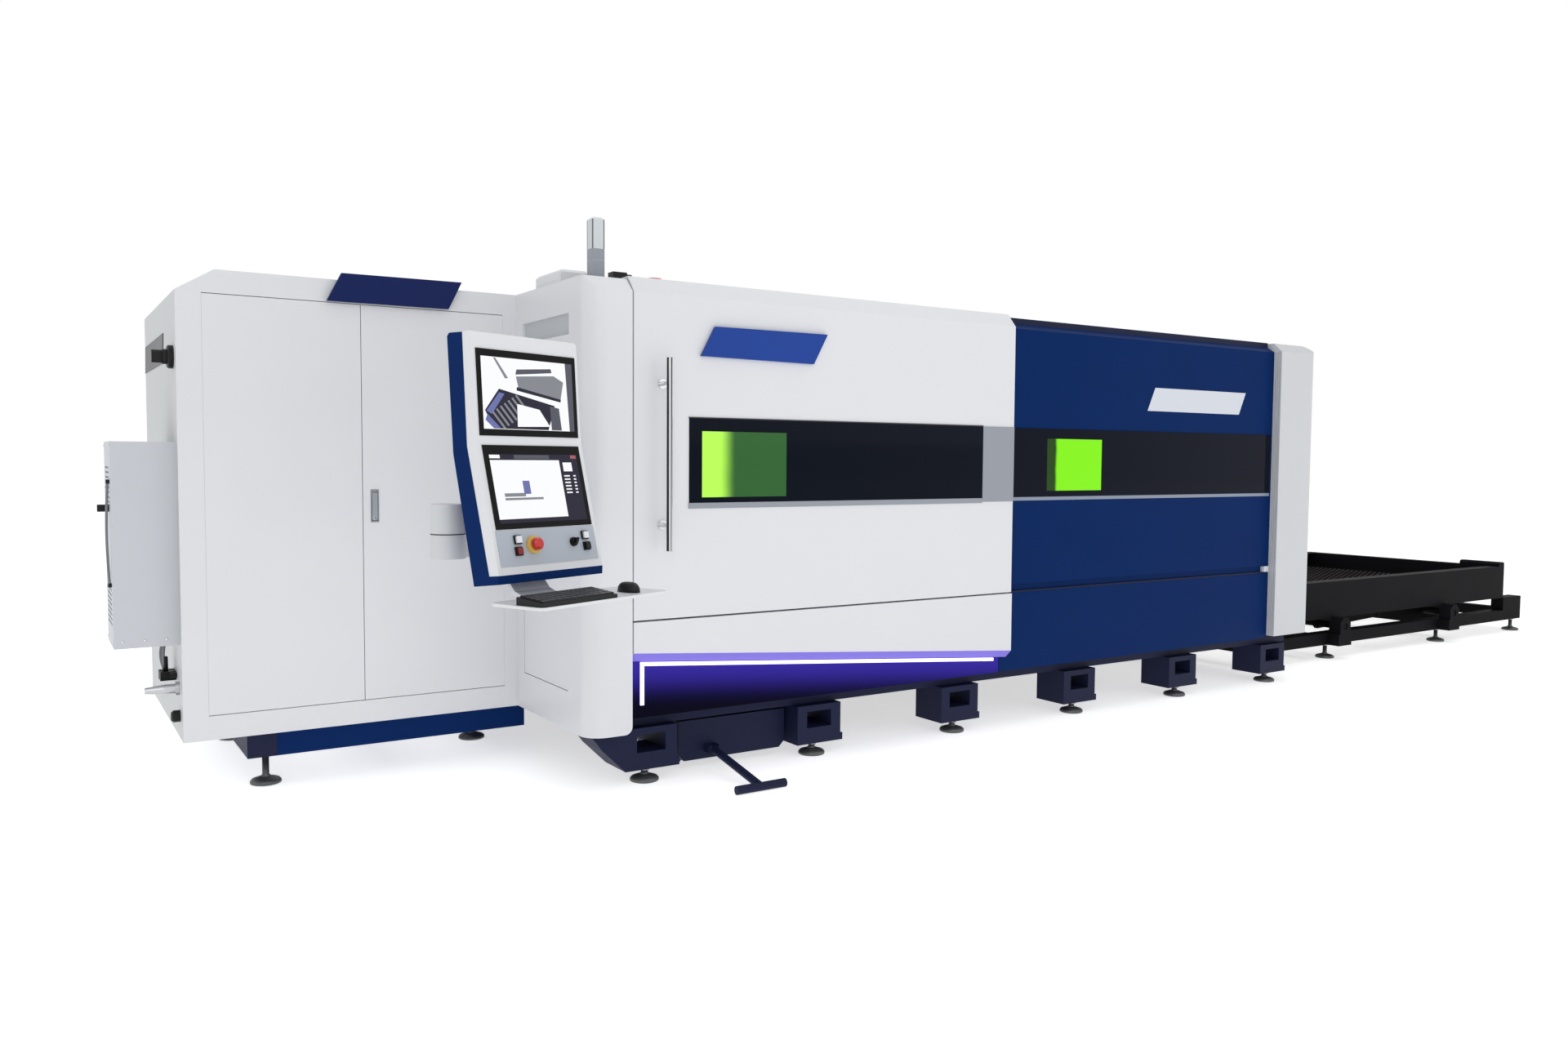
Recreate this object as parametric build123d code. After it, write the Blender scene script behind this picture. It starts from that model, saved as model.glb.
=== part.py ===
"""Sheet-metal laser cutting machine with cabin, electrical cabinet, console and exchange table.

Sizes are in millimetres. The machine is set out from the front left corner of the cabin:
x runs along the machine to the exchange table, y runs from the front to the back, z is up
from the floor. Each solid is moved at the end, so that the origin lies under the first
front levelling pad.
"""
import os
from math import atan2, cos, degrees, radians, sin, sqrt

from build123d import *

# Cabin
cabin_length = 5155.0
cabin_depth = 2660.0
cabin_top = 2200.0
cabin_bottom = 253.0
skin = 30.0
left_column_width = 205.0
right_column_left = cabin_length - 404.0
right_column_bottom = 325.0
corner_radius = 90.0
bevel_foot = 2143.0
bevel_depth = 60.0
end_top_radius = 110.0
blue_setback = 54.0
blue_bottom = 310.0
blue_bevel_depth = 86.0
blue_left = 2380.0
seat_gap = 0.3

# Service cover in the left end wall
access_y0 = 216.0
access_y1 = 737.0
access_z0 = 424.0
access_z1 = 1880.0

# Windows
window_bottom = 1245.0
window_top = 1616.0
window_rim = 10.0
glass_thickness = 4.0
pane_thickness = 8.0
pane_gap = 0.5
fixed_glass_left = 2470.0
fixed_glass_right = cabin_length - 423.0
fixed_pane = (2727.0, 3160.0, 1277.0, 1562.0)
door_glass_left = 477.0
door_glass_right = 2204.0
door_pane = (540.0, 985.0, 1269.0, 1560.0)

# Front door
door_seam = 6.0
door_left = left_column_width + door_seam
door_right = 2425.0
door_bottom = 743.0
door_thickness = 44.0
door_cap_top = 2213.0
door_cap_depth = 118.0
door_travel = 2260.0
handle_diameter = 26.0
handle_reach = 70.0
handle_bottom = 1043.0
handle_top = 1867.0

# Skirt, light strip and lower front
sill_top = 735.0
skirt_bottom_left = 563.0
skirt_bottom_right = 389.0
skirt_right = 2431.0
lip_height = 40.0
base_panel_thickness = 26.0
led_width = 16.0
led_depth = 8.0
groove_depth = 16.0
groove_top = 775.0

# Bed, rails and gantry
bed_left = 60.0
bed_right = cabin_length - 65.0
beam_bottom = 250.0
beam_top = 720.0
front_beam_front = 150.0
front_beam_back = 420.0
rear_beam_front = 2240.0
rear_beam_back = 2510.0
rail_height = 45.0
rail_width = 40.0
gantry_width = 300.0
gantry_left = 360.0
gantry_bottom = 1000.0
gantry_height = 260.0
gantry_travel = 3300.0
carriage_width = 260.0
carriage_y = 700.0
carriage_travel = 1150.0
head_stroke = 120.0
running_gap = 0.5

# Levelling feet
pad_diameter = 130.0
pad_height = 26.0
stud_diameter = 30.0
foot_first_x = 336.0
foot_count = 6
foot_pitch = (cabin_length - 610.0) / (foot_count - 1)
foot_front_y = 150.0
foot_rear_y = 2510.0
bracket_bottom = 62.0
bracket_front = 100.0
bracket_back = 310.0

# Pallets and their tracks
pallet_length = 3240.0
pallet_left = cabin_length - 3655.0
pallet_front = 540.0
pallet_back = 2120.0
pallet_tube_width = 60.0
pallet_tube_height = 80.0
wheel_diameter = 80.0
wheel_width = 36.0
wheel_inset = 22.0
wheel_pairs = 4
slat_count = 32
slat_thickness = 5.0
slat_height = 82.0
track_top = 570.0
track_thickness = 12.0
pallet_travel = 3750.0
level_step = 258.0

# Exchange table
table_left = cabin_length + 13.0
table_right = table_left + 3772.0
table_front = 430.0
table_back = 2230.0
table_rail_width = 100.0
table_rail_bottom = 105.0
table_rail_top = 190.0
channel_bottom = 300.0
channel_right = table_left + 3462.0
rocker_length = 800.0
rocker_shaft_z = 245.0
rocker_shaft_diameter = 50.0
rocker_roller_diameter = 70.0
rocker_near_x = table_left + 962.0
rocker_far_x = table_left + 2497.0
rocker_slack = 2.6
bearing_gap = 0.05

# Slag cart
cart_left = 530.0
cart_right = 1110.0
cart_front = 190.0
cart_back = 2200.0
cart_bottom = 45.0
cart_top = 232.0
cart_wall = 5.0
cart_travel = 1500.0
tow_x = 690.0
tow_pivot_z = 97.0
tow_pivot_y = 151.0
tow_tube = 36.0
tow_bar_width = 250.0
tow_reach = 420.0

# Lift gate in the right end wall
gate_front = 395.0
gate_back = 2265.0
gate_opening_top = 880.0
gate_height = 590.0
gate_thickness = 12.0
gate_travel = 560.0

# Electrical cabinet
cabinet_length = 1433.0
cabinet_front = 822.0
cabinet_back = 2123.0
cabinet_wall = 30.0
cabinet_chamfer_x = 147.0
cabinet_chamfer_z = 92.0
cabinet_door_left_x = -1336.0
cabinet_door_seam_x = -707.5
cabinet_door_right_x = -66.0
cabinet_door_bottom = 357.0
cabinet_door_top = 2100.0
cabinet_door_thickness = 28.0
door_gap = 3.0
hinge_gap = 0.5
plinth_bottom = 136.0
plinth_left = -1180.0
plinth_front = 900.0
plinth_back = 2050.0

# Cabinet cooler
cooler_depth = 237.0
cooler_front = 890.0
cooler_width = 330.0
cooler_bottom = 652.0
cooler_top = 1492.0

# Main switch on the cabinet's side
isolator_y = 925.0
isolator_z = 1842.0
isolator_rosette = 22.0

# Console on its swing arm
console_x = -496.6
console_y = -621.0
console_z = 1655.0
console_turn = 23.4
console_half_width = 249.0
face_top = (-9.0, 200.0)
face_bend = (14.0, -165.0)
face_foot = (117.0, -603.0)
lip_foot = (116.0, -632.0)
shell_foot = (0.0, -645.0)
screen_width = 465.0
screen_height = 289.0
lower_screen_width = 456.0
button_plate_height = 120.0
tray_top = 968.0
tray_thickness = 10.0
tray_left = -290.0
tray_right = 345.0
tray_back = 112.0
tray_front = 350.0
arm_bottom = 1084.0
arm_seam = 1172.0
arm_top = 1275.0
wall_pivot = (-70.0, 134.0)
knuckle = (-726.0, -448.0)
console_pivot = (-517.0, -423.0)
knuckle_diameter = 118.0
pivot_diameter = 92.0


def block(x0, x1, y0, y1, z0, z1):
    """A box from its low and high corners."""
    size = Box(x1 - x0, y1 - y0, z1 - z0)
    return Pos((x0 + x1) / 2, (y0 + y1) / 2, (z0 + z1) / 2) * size


def bar_x(x0, x1, y, z, diameter):
    """A round bar along x."""
    return Pos((x0 + x1) / 2, y, z) * Rot(0, 90, 0) * Cylinder(diameter / 2, x1 - x0)


def bar_y(x, y0, y1, z, diameter):
    """A round bar along y."""
    return Pos(x, (y0 + y1) / 2, z) * Rot(90, 0, 0) * Cylinder(diameter / 2, y1 - y0)


def bar_z(x, y, z0, z1, diameter):
    """A round bar along z."""
    return Pos(x, y, (z0 + z1) / 2) * Cylinder(diameter / 2, z1 - z0)


def wheel_y(x, y0, y1, z, diameter):
    """A sixteen-sided wheel or roller along y, with a flat on the track below and above."""
    face = make_face(RegularPolygon(diameter / 2, 16, major_radius=False).edges())
    face = Rot(0, 0, 180 / 16) * face
    return Pos(x, y1, z) * Rot(90, 0, 0) * extrude(face, amount=y1 - y0)


def along_x(points, x0, x1):
    """A prism along x from its outline in y and z."""
    face = make_face(Polyline(*points, close=True))
    return extrude(Plane.YZ.offset(x0) * face, amount=x1 - x0)


def along_y(points, y0, y1):
    """A prism along y from its outline in x and z."""
    face = make_face(Polyline(*points, close=True))
    return extrude(Plane.XZ.offset(-y1) * face, amount=y1 - y0)


def along_z(points, z0, z1):
    """A prism along z from its outline in x and y."""
    face = make_face(Polyline(*points, close=True))
    return extrude(Plane.XY.offset(z0) * face, amount=z1 - z0)


def front_profile(inset):
    """The cabin's outline in y and z, moved in by a wall."""
    back = cabin_depth + skin
    return [
        (inset, cabin_bottom - 2 * inset),
        (inset, bevel_foot - inset * 0.4),
        (bevel_depth + inset * 0.4, cabin_top - inset),
        (back, cabin_top - inset),
        (back, cabin_bottom - 2 * inset),
    ]


def join(pieces):
    """One solid from pieces that touch or overlap."""
    whole = pieces[0]
    for piece in pieces[1:]:
        whole += piece
    return whole


def rounded_top(x0, x1, z0, z1, radius):
    """A box over the cabin's depth, with its top right edge rounded."""
    solid = block(x0, x1, -1, cabin_depth + 1, z0, z1)
    edges = solid.edges().filter_by(Axis.Y)
    edge = max(edges, key=lambda e: e.center().X + e.center().Z)
    return fillet(edge, radius)


def rounded_plan(x0, x1, y0, y1, corner, radius, z0, z1):
    """A box with one upright edge rounded, at the given corner."""
    solid = block(x0, x1, y0, y1, z0, z1)
    edges = solid.edges().filter_by(Axis.Z)
    edge = min(edges, key=lambda e: abs(e.center().X - corner[0]) + abs(e.center().Y - corner[1]))
    return fillet(edge, radius)


def left_end_shell():
    """White end cover: left end wall, front column and its own strip of roof."""
    outer = rounded_plan(0, left_column_width, 0, cabin_depth - skin, (0, 0), corner_radius,
                         cabin_bottom, cabin_top)
    outer &= along_x(front_profile(0), -1, left_column_width + 1)
    inner = rounded_plan(skin, left_column_width + 2, skin, cabin_depth, (skin, skin),
                         corner_radius - skin, cabin_bottom - 2, cabin_top)
    inner &= along_x(front_profile(skin), -1, left_column_width + 3)
    shell = outer - inner
    recess_y0 = 195.0
    recess_y1 = 735.0
    shell -= block(-1, 15, recess_y0, recess_y1, 1966, 2057)
    shell -= block(-1, skin + 1, access_y0, access_y1, access_z0, access_z1)
    corner = shell.edges().filter_by(Axis.Y)
    corner = corner.filter_by(lambda e: abs(e.center().X - left_column_width) < 1)
    corner = corner.filter_by(lambda e: abs(e.center().Z - cabin_bottom) < 1)
    return fillet(corner, 35)


def end_access_panel():
    """Service cover in the left end wall, with a flange behind the opening."""
    gap = door_gap
    plate = block(2, skin, access_y0 + gap, access_y1 - gap, access_z0 + gap, access_z1 - gap)
    flange_overlap = 12.0
    flange = block(skin, skin + 4, access_y0 - flange_overlap, access_y1 + flange_overlap,
                   access_z0 - flange_overlap, access_z1 + flange_overlap)
    return plate + flange


def right_end_shell():
    """White end cover at the exchange table, with the pallet gate's opening and guides."""
    left = right_column_left
    right = cabin_length
    outer = rounded_plan(left, right, 0, cabin_depth - skin, (right, 0), corner_radius,
                         right_column_bottom, cabin_top)
    outer &= along_x(front_profile(0), left - 1, right + 1)
    outer &= rounded_top(left - 1, right, right_column_bottom - 1, cabin_top, end_top_radius)
    inner = rounded_plan(left + skin, right - skin, skin, cabin_depth, (right - skin, skin),
                         corner_radius - skin, right_column_bottom - 2, cabin_top)
    inner &= along_x(front_profile(skin), left - 1, right + 1)
    inner &= rounded_top(left - 1, right - skin, right_column_bottom - 3, cabin_top - skin,
                         end_top_radius - skin)
    shell = outer - inner
    back_of_return = blue_setback + skin
    shell -= block(left - 1, left + skin + 1, back_of_return, cabin_depth + 1,
                   right_column_bottom - 1, bevel_foot - 60)
    shell -= block(right - skin - 1, right + 1, gate_front, gate_back,
                   right_column_bottom - 1, gate_opening_top)
    flute = 6.0
    for y in (10.0, 24.0, 38.0):
        shell -= block(left - 1, left + flute, y, y + flute, right_column_bottom - 1, bevel_foot)
    guide_bottom = right_column_bottom + 5
    guide_top = gate_opening_top + gate_height
    wall = right - skin
    for y, sign in ((gate_front - 24, 1), (gate_back + 24, -1)):
        web = sorted((y - 10 * sign, y))
        lip = sorted((y - 10 * sign, y + 12 * sign))
        shell += block(wall - gate_thickness - 8, wall, *web, guide_bottom, guide_top)
        shell += block(wall - gate_thickness - 16, wall - gate_thickness - 8, *lip,
                       guide_bottom, guide_top)
    return shell


def fixed_front_panel():
    """Blue front beside the door, with a bevelled top, window opening and door groove."""
    y = blue_setback
    back = y + skin
    left = blue_left
    roof = cabin_top - skin
    outline = [
        (y, blue_bottom),
        (y, bevel_foot),
        (y + blue_bevel_depth, cabin_top),
        (y + blue_bevel_depth + skin, cabin_top),
        (y + blue_bevel_depth + skin, roof),
        (y + blue_bevel_depth + 10, roof),
        (back, bevel_foot - 14),
        (back, blue_bottom),
    ]
    panel = along_x(outline, left, right_column_left)
    panel -= block(fixed_glass_left + window_rim, fixed_glass_right - window_rim, y - 1, back + 1,
                   window_bottom + window_rim, window_top - window_rim)
    panel -= block(left - 1, right_column_left + 1, y - 1, y + groove_depth,
                   sill_top - 5, groove_top)
    return panel


def window_glass(x0, x1, pane, y):
    """Dark glass glued to the front of a panel, with a cut-out for its clear pane."""
    glass = block(x0, x1, y - glass_thickness, y, window_bottom, window_top)
    px0, px1, pz0, pz1 = pane
    return glass - block(px0, px1, y - glass_thickness - 1, y + 1, pz0, pz1)


def green_pane(pane, y):
    """Laser-safe pane in the cut-out of the dark glass, with a rim behind the glass."""
    x0, x1, z0, z1 = pane
    front = block(x0 + pane_gap, x1 - pane_gap, y - glass_thickness, y,
                  z0 + pane_gap, z1 - pane_gap)
    rim = 8.0
    return front + block(x0 - rim, x1 + rim, y, y + pane_thickness, z0 - rim, z1 + rim)


def rear_wall():
    """Back wall of the cabin, with pressed vent slots."""
    y0 = cabin_depth - skin
    wall = block(0, cabin_length, y0, cabin_depth, cabin_bottom, cabin_top)
    corners = wall.edges().filter_by(Axis.Z).filter_by(lambda e: e.center().Y > y0 + 1)
    wall = fillet(corners, skin / 2)
    vent_pitch = 60.0
    for column in (1200.0, 2600.0, 4000.0):
        for row in range(5):
            z = 600.0 + row * vent_pitch
            wall -= block(column, column + 400, cabin_depth - 8, cabin_depth + 1, z, z + 20)
    return wall


def roof_panel():
    """Roof between the two end covers, with a flanged box over the exhaust at its left end."""
    front = blue_setback + blue_bevel_depth + skin
    z0 = cabin_top - skin
    roof = block(left_column_width, right_column_left, front, cabin_depth - skin, z0, cabin_top)
    strip_front = door_cap_depth - 34
    return roof + block(left_column_width, blue_left, strip_front, front, z0, cabin_top)


def roof_fittings():
    """White cable box, plug connector and red beacon on the roof."""
    box = block(20, 150, 330, 620, cabin_top, cabin_top + 62)
    box = chamfer(box.edges().group_by(Axis.Z)[-1], 12)
    connector = block(196, 262, 172, 226, cabin_top, cabin_top + 46)
    connector += bar_x(262, 292, 199, cabin_top + 26, 34)
    beacon_x = 400.0
    beacon_y = 190.0
    beacon = bar_z(beacon_x, beacon_y, cabin_top, cabin_top + 34, 90)
    beacon = chamfer(beacon.edges().group_by(Axis.Z)[-1], 10)
    return [box, connector, beacon]


def signal_tower():
    """Square signal light on a foot, with a chamfered cap."""
    side = 56.0
    x = 126.0
    y = 198.0
    foot = block(x - 38, x + 38, y - 38, y + 38, cabin_top, cabin_top + 10)
    body = block(x - side / 2, x + side / 2, y - side / 2, y + side / 2, cabin_top + 10, 2470)
    body = chamfer(body.faces().sort_by(Axis.Z)[-1].edges(), 9)
    return foot + body


def door_shell():
    """White sliding door: front skin, bevel and cap that runs on the roof rail."""
    outline = [
        (0, door_bottom),
        (0, bevel_foot),
        (bevel_depth - 2, door_cap_top),
        (door_cap_depth, door_cap_top),
        (door_cap_depth, door_cap_top - 8),
        (bevel_depth + 12, door_cap_top - 8),
        (door_thickness, bevel_foot + 22),
        (door_thickness, door_bottom),
    ]
    door = along_x(outline, door_left, door_right)
    door -= block(door_glass_left + window_rim, door_glass_right - window_rim, -1,
                  door_thickness + 1, window_bottom + window_rim, window_top - window_rim)
    for x in (240.0, 2290.0):
        door += block(x, x + 100, door_thickness, blue_setback + groove_depth - 3,
                      sill_top + 5 + seat_gap, groove_top - 6)
    return door


def blue_bevel_height(y):
    """Height of the blue front's bevel at a depth."""
    share = (y - blue_setback) / blue_bevel_depth
    return bevel_foot + share * (cabin_top - bevel_foot)


def door_rails():
    """Upper rail on the roof, lower rail in the groove, and the silver end stop."""
    front = door_cap_depth - 18
    back = door_cap_depth - 6
    top = door_cap_top - 8 - seat_gap
    upper = block(door_left, blue_left, front, back, cabin_top, top)
    on_bevel = [
        (front, blue_bevel_height(front)),
        (front, top),
        (back, top),
        (back, blue_bevel_height(back)),
    ]
    upper += along_x(on_bevel, blue_left, right_column_left - 6)
    lower = block(door_left, right_column_left - 6, blue_setback + 2,
                  blue_setback + groove_depth, sill_top - 5, sill_top + 5)
    stop = block(right_column_left - 59, right_column_left - 11, blue_setback - 10,
                 blue_setback + groove_depth, sill_top + 5, groove_top)
    return [upper, lower + stop]


def door_handle():
    """Long round pull bar on two stand-offs with rosettes."""
    x = 345.0
    bar = bar_z(x, -handle_reach, handle_bottom, handle_top, handle_diameter)
    for z in (1152.0, 1759.0):
        bar += bar_y(x, -handle_reach, 0, z, 18)
        bar += bar_y(x, -6, 0, z, 42)
    return bar


def lip_line(x):
    """Height of the skirt's lower edge, which falls to the right."""
    share = (x - door_left) / (skirt_right - door_left)
    return skirt_bottom_left + share * (skirt_bottom_right - skirt_bottom_left)


def skirt_panel():
    """White skirt below the door, with a slanted lower edge and a bevelled lip."""
    outline = [
        (door_left, sill_top),
        (skirt_right, sill_top),
        (skirt_right, skirt_bottom_right),
        (door_left, skirt_bottom_left),
    ]
    skirt = along_y(outline, 0, door_thickness)
    lip = [e for e in skirt.edges() if e.center().Y < 1 and e.center().Z < sill_top - 200]
    lip = [e for e in lip if e.length > 1000]
    skirt = chamfer(lip, lip_height)
    ledge = block(door_left, blue_left, door_thickness, blue_setback + groove_depth,
                  sill_top - 23, sill_top - 5)
    return skirt + ledge


def base_panel():
    """Blue lower front behind the skirt."""
    y0 = door_thickness
    return block(left_column_width, blue_left, y0, y0 + base_panel_thickness,
                 blue_bottom, sill_top - 23)


def led_strip():
    """Light strip under the skirt's lip, with a leg down at its left end."""
    left = 262.0
    right = 2340.0
    leg_bottom = 366.0
    below_lip = 4.0
    top_left = lip_line(left) - below_lip
    top_right = lip_line(right) - below_lip
    outline = [
        (left, top_left),
        (right, top_right),
        (right, top_right - led_width),
        (left + led_width, lip_line(left + led_width) - below_lip - led_width),
        (left + led_width, leg_bottom),
        (left, leg_bottom),
    ]
    return along_y(outline, door_thickness - led_depth, door_thickness)


def foot_positions():
    """Places of the cabin's levelling feet."""
    places = []
    for i in range(foot_count):
        x = foot_first_x + i * foot_pitch
        places.append((x, foot_front_y, bracket_bottom))
        places.append((x, foot_rear_y, bracket_bottom))
    return places


def foot_bracket(x, wing):
    """Portal under the front bed beam, with a window over its foot plate."""
    left = x - 116
    right = x + 138
    outline = [
        (right, beam_bottom),
        (right, bracket_bottom + 34),
        (right + 13, bracket_bottom + 34),
        (right + 13, bracket_bottom),
        (left, bracket_bottom),
    ]
    if wing:
        outline += [(left - 112, bracket_bottom + 110), (left - 170, beam_bottom)]
    else:
        outline += [(left, beam_bottom)]
    bracket = along_y(outline, bracket_front, bracket_back)
    return bracket - block(x - 61, x + 81, bracket_front - 1, bracket_back + 1,
                           bracket_bottom + 78, bracket_bottom + 158)


def foot_brackets():
    """Brackets under both bed beams."""
    front = [foot_bracket(foot_first_x + i * foot_pitch, i == 0) for i in range(foot_count)]
    middle = Plane.XZ.offset(-cabin_depth / 2)
    return front + [mirror(bracket, about=middle) for bracket in front]


def bed_mounts():
    """Blocks that carry the cabin's front panels and end walls on the bed."""
    low = 640.0
    high = 700.0
    mounts = []
    for x in (300.0, 1150.0, 2000.0):
        mounts.append(block(x, x + 80, door_thickness + base_panel_thickness, front_beam_front,
                            low, high))
    for x in (2700.0, 3500.0, 4300.0):
        mounts.append(block(x, x + 80, blue_setback + skin, front_beam_front, low, high))
    for y in (front_beam_front + 5, 900.0, 2100.0):
        mounts.append(block(skin, bed_left, y, y + 40, low - 200, high))
    for y in (front_beam_front + 20, rear_beam_front + 100):
        mounts.append(block(bed_right, cabin_length - skin, y, y + 150, low - 200, high))
    for x in (1500.0, 3600.0):
        mounts.append(block(x, x + 80, rear_beam_back, cabin_depth - skin, low, high))
    return mounts


def bed_frame():
    """Welded bed: two side beams, cross beams, pallet tracks and foot brackets."""
    front = (front_beam_front, front_beam_back)
    rear = (rear_beam_front, rear_beam_back)
    between = (front_beam_back, rear_beam_front)
    pieces = [
        block(bed_left, bed_right, *front, beam_bottom, beam_top),
        block(bed_left, bed_right, *rear, beam_bottom, beam_top),
        block(bed_left, bed_left + 220, *between, beam_bottom, beam_top),
    ]
    cross_top = channel_bottom - 2
    for x in (1180.0, 2440.0, 3700.0, bed_right - 160):
        pieces.append(block(x, x + 160, *between, beam_bottom, cross_top))
    track_left = pallet_left - 120
    inner_front = table_front + table_rail_width
    inner_rear = table_back - table_rail_width
    for edges in ((front_beam_back, inner_front), (inner_rear, rear_beam_front)):
        pieces.append(block(track_left, bed_right, *edges, track_top - track_thickness,
                            track_top))
    return join(pieces + foot_brackets() + bed_mounts())


def levelling_foot(x, y, under):
    """Levelling mount: tapered pad, stud and lock nut under a bracket."""
    pad_face = make_face(RegularPolygon(pad_diameter / 2, 12).edges())
    pad = extrude(Pos(x, y, 0) * pad_face, amount=pad_height, taper=28)
    stud_face = make_face(RegularPolygon(stud_diameter / 2, 8).edges())
    stud = extrude(Pos(x, y, pad_height) * stud_face, amount=under - pad_height)
    nut_height = 14.0
    nut_face = make_face(RegularPolygon(24, 6).edges())
    nut = extrude(Pos(x, y, under - nut_height) * nut_face, amount=nut_height)
    return pad + stud + nut


def table_feet_positions():
    """Places of the exchange table's levelling feet."""
    places = []
    for step in (297.0, 933.0, 2485.0, 3712.0):
        x = table_left + step
        places.append((x, table_front + 50))
        places.append((x, table_back - 50))
    return places


def cabinet_feet_positions():
    """Places of the cabinet's levelling feet."""
    return [(-1095.0, 990.0), (-1095.0, 1960.0), (-60.0, 1330.0)]


def levelling_feet():
    """All levelling mounts, as separate solids."""
    feet = [levelling_foot(x, y, z) for x, y, z in foot_positions()]
    feet += [levelling_foot(x, y, table_rail_bottom) for x, y in table_feet_positions()]
    feet += [levelling_foot(x, y, plinth_bottom) for x, y in cabinet_feet_positions()]
    return feet


def x_rails():
    """Linear rails and toothed racks on the bed's side beams."""
    pieces = []
    rail_left = bed_left + 240
    rail_right = bed_right - 60
    for y in (front_rail_y, rear_rail_y):
        pieces.append(block(rail_left, rail_right, y - rail_width / 2, y + rail_width / 2,
                            beam_top, beam_top + rail_height))
    for y in (front_rail_y + 60, rear_rail_y - 84):
        pieces.append(block(rail_left, rail_right, y, y + 24, beam_top, beam_top + 30))
    return pieces


front_rail_y = 285.0
rear_rail_y = 2375.0


def gantry_beam():
    """Cross beam on two end legs, with guide shoes over the rails and rails on its face."""
    left = gantry_left
    right = left + gantry_width
    shoe_bottom = beam_top + rail_height + seat_gap
    beam = block(left, right, front_rail_y - 55, rear_rail_y + 55, gantry_bottom,
                 gantry_bottom + gantry_height)
    beam = chamfer(beam.edges().filter_by(Axis.Y), 24)
    for y in (front_rail_y, rear_rail_y):
        leg = [
            (left - 60, shoe_bottom),
            (right + 60, shoe_bottom),
            (right + 60, shoe_bottom + 60),
            (right, gantry_bottom),
            (left, gantry_bottom),
            (left - 60, shoe_bottom + 60),
        ]
        beam += along_y(leg, y - 45, y + 45)
    for z in (gantry_bottom + 40, gantry_bottom + gantry_height - 64):
        beam += block(right, right + 14, front_rail_y + 100, rear_rail_y - 100, z, z + 24)
    return beam


def carriage():
    """Plate that runs across the beam, with its cable cover."""
    face = gantry_left + gantry_width + 14 + running_gap
    y0 = carriage_y
    y1 = y0 + carriage_width
    plate = block(face, face + 26, y0, y1, gantry_bottom + 6, gantry_bottom + gantry_height + 60)
    for side in (y0 + 20, y1 - 38):
        plate += block(face + 26, face + 44, side, side + 18, gantry_bottom + 10,
                       gantry_bottom + gantry_height + 50)
    return plate


def cutting_head():
    """Cutting head: slide, motor cover, lens body and conical nozzle."""
    face = gantry_left + gantry_width + 14 + running_gap + 44 + running_gap
    y = carriage_y + carriage_width / 2
    slide = block(face, face + 22, y - 95, y + 95, gantry_bottom - 40,
                  gantry_bottom + gantry_height)
    cover = block(face + 22, face + 150, y - 75, y + 75, gantry_bottom + 40,
                  gantry_bottom + gantry_height + 40)
    cover = chamfer(cover.edges().filter_by(Axis.Z), 16)
    x = face + 86
    body = bar_z(x, y, 880, gantry_bottom + 40, 84)
    cone_height = 46.0
    nozzle = Pos(x, y, 880 - cone_height / 2) * Cone(34, 12, cone_height).mirror(Plane.XY)
    bridge = block(face + 22, x, y - 20, y + 20, gantry_bottom - 30, gantry_bottom + 40)
    return slide + cover + body + nozzle + bridge


def pallet(x0, rail_top):
    """Pallet of square tube with toothed slats and wheels, standing on its tracks."""
    x1 = x0 + pallet_length
    wheel_z = rail_top + seat_gap + wheel_diameter / 2
    z0 = wheel_z - 20
    z1 = z0 + pallet_tube_height
    width = pallet_tube_width
    frame = block(x0, x1, pallet_front, pallet_back, z0, z1)
    frame -= block(x0 + width, x1 - width, pallet_front + width, pallet_back - width,
                   z0 - 1, z1 + 1)
    middle = (x0 + x1) / 2
    for x in (middle - pallet_length / 4, middle, middle + pallet_length / 4):
        frame += block(x - 25, x + 25, pallet_front + width, pallet_back - width, z0, z0 + 40)
    pitch = (pallet_length - 2 * width) / (slat_count + 1)
    slats = []
    for i in range(slat_count):
        x = x0 + width + (i + 1) * pitch - slat_thickness / 2
        slats.append(block(x, x + slat_thickness, pallet_front + width, pallet_back - width,
                           z0 + 40, z0 + 40 + slat_height))
    frame = join([frame] + slats)
    for i in range(wheel_pairs):
        x = x0 + 140 + i * (pallet_length - 280) / (wheel_pairs - 1)
        for inner, out in ((pallet_front, -1), (pallet_back, 1)):
            near = inner + out * wheel_inset
            far = near + out * wheel_width
            frame += wheel_y(x, *sorted((near, far)), wheel_z, wheel_diameter)
            frame += block(x - 14, x + 14, *sorted((inner, near)), wheel_z - 14, wheel_z + 14)
    return frame


def bearing_block(x, y0, y1):
    """Bevelled bearing housing on the floor frame."""
    top = rocker_shaft_z + 65
    return along_y([
        (x - 65, table_rail_top),
        (x - 65, rocker_shaft_z + 27),
        (x - 27, top),
        (x + 27, top),
        (x + 65, rocker_shaft_z + 27),
        (x + 65, table_rail_top),
    ], y0, y1)


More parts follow.
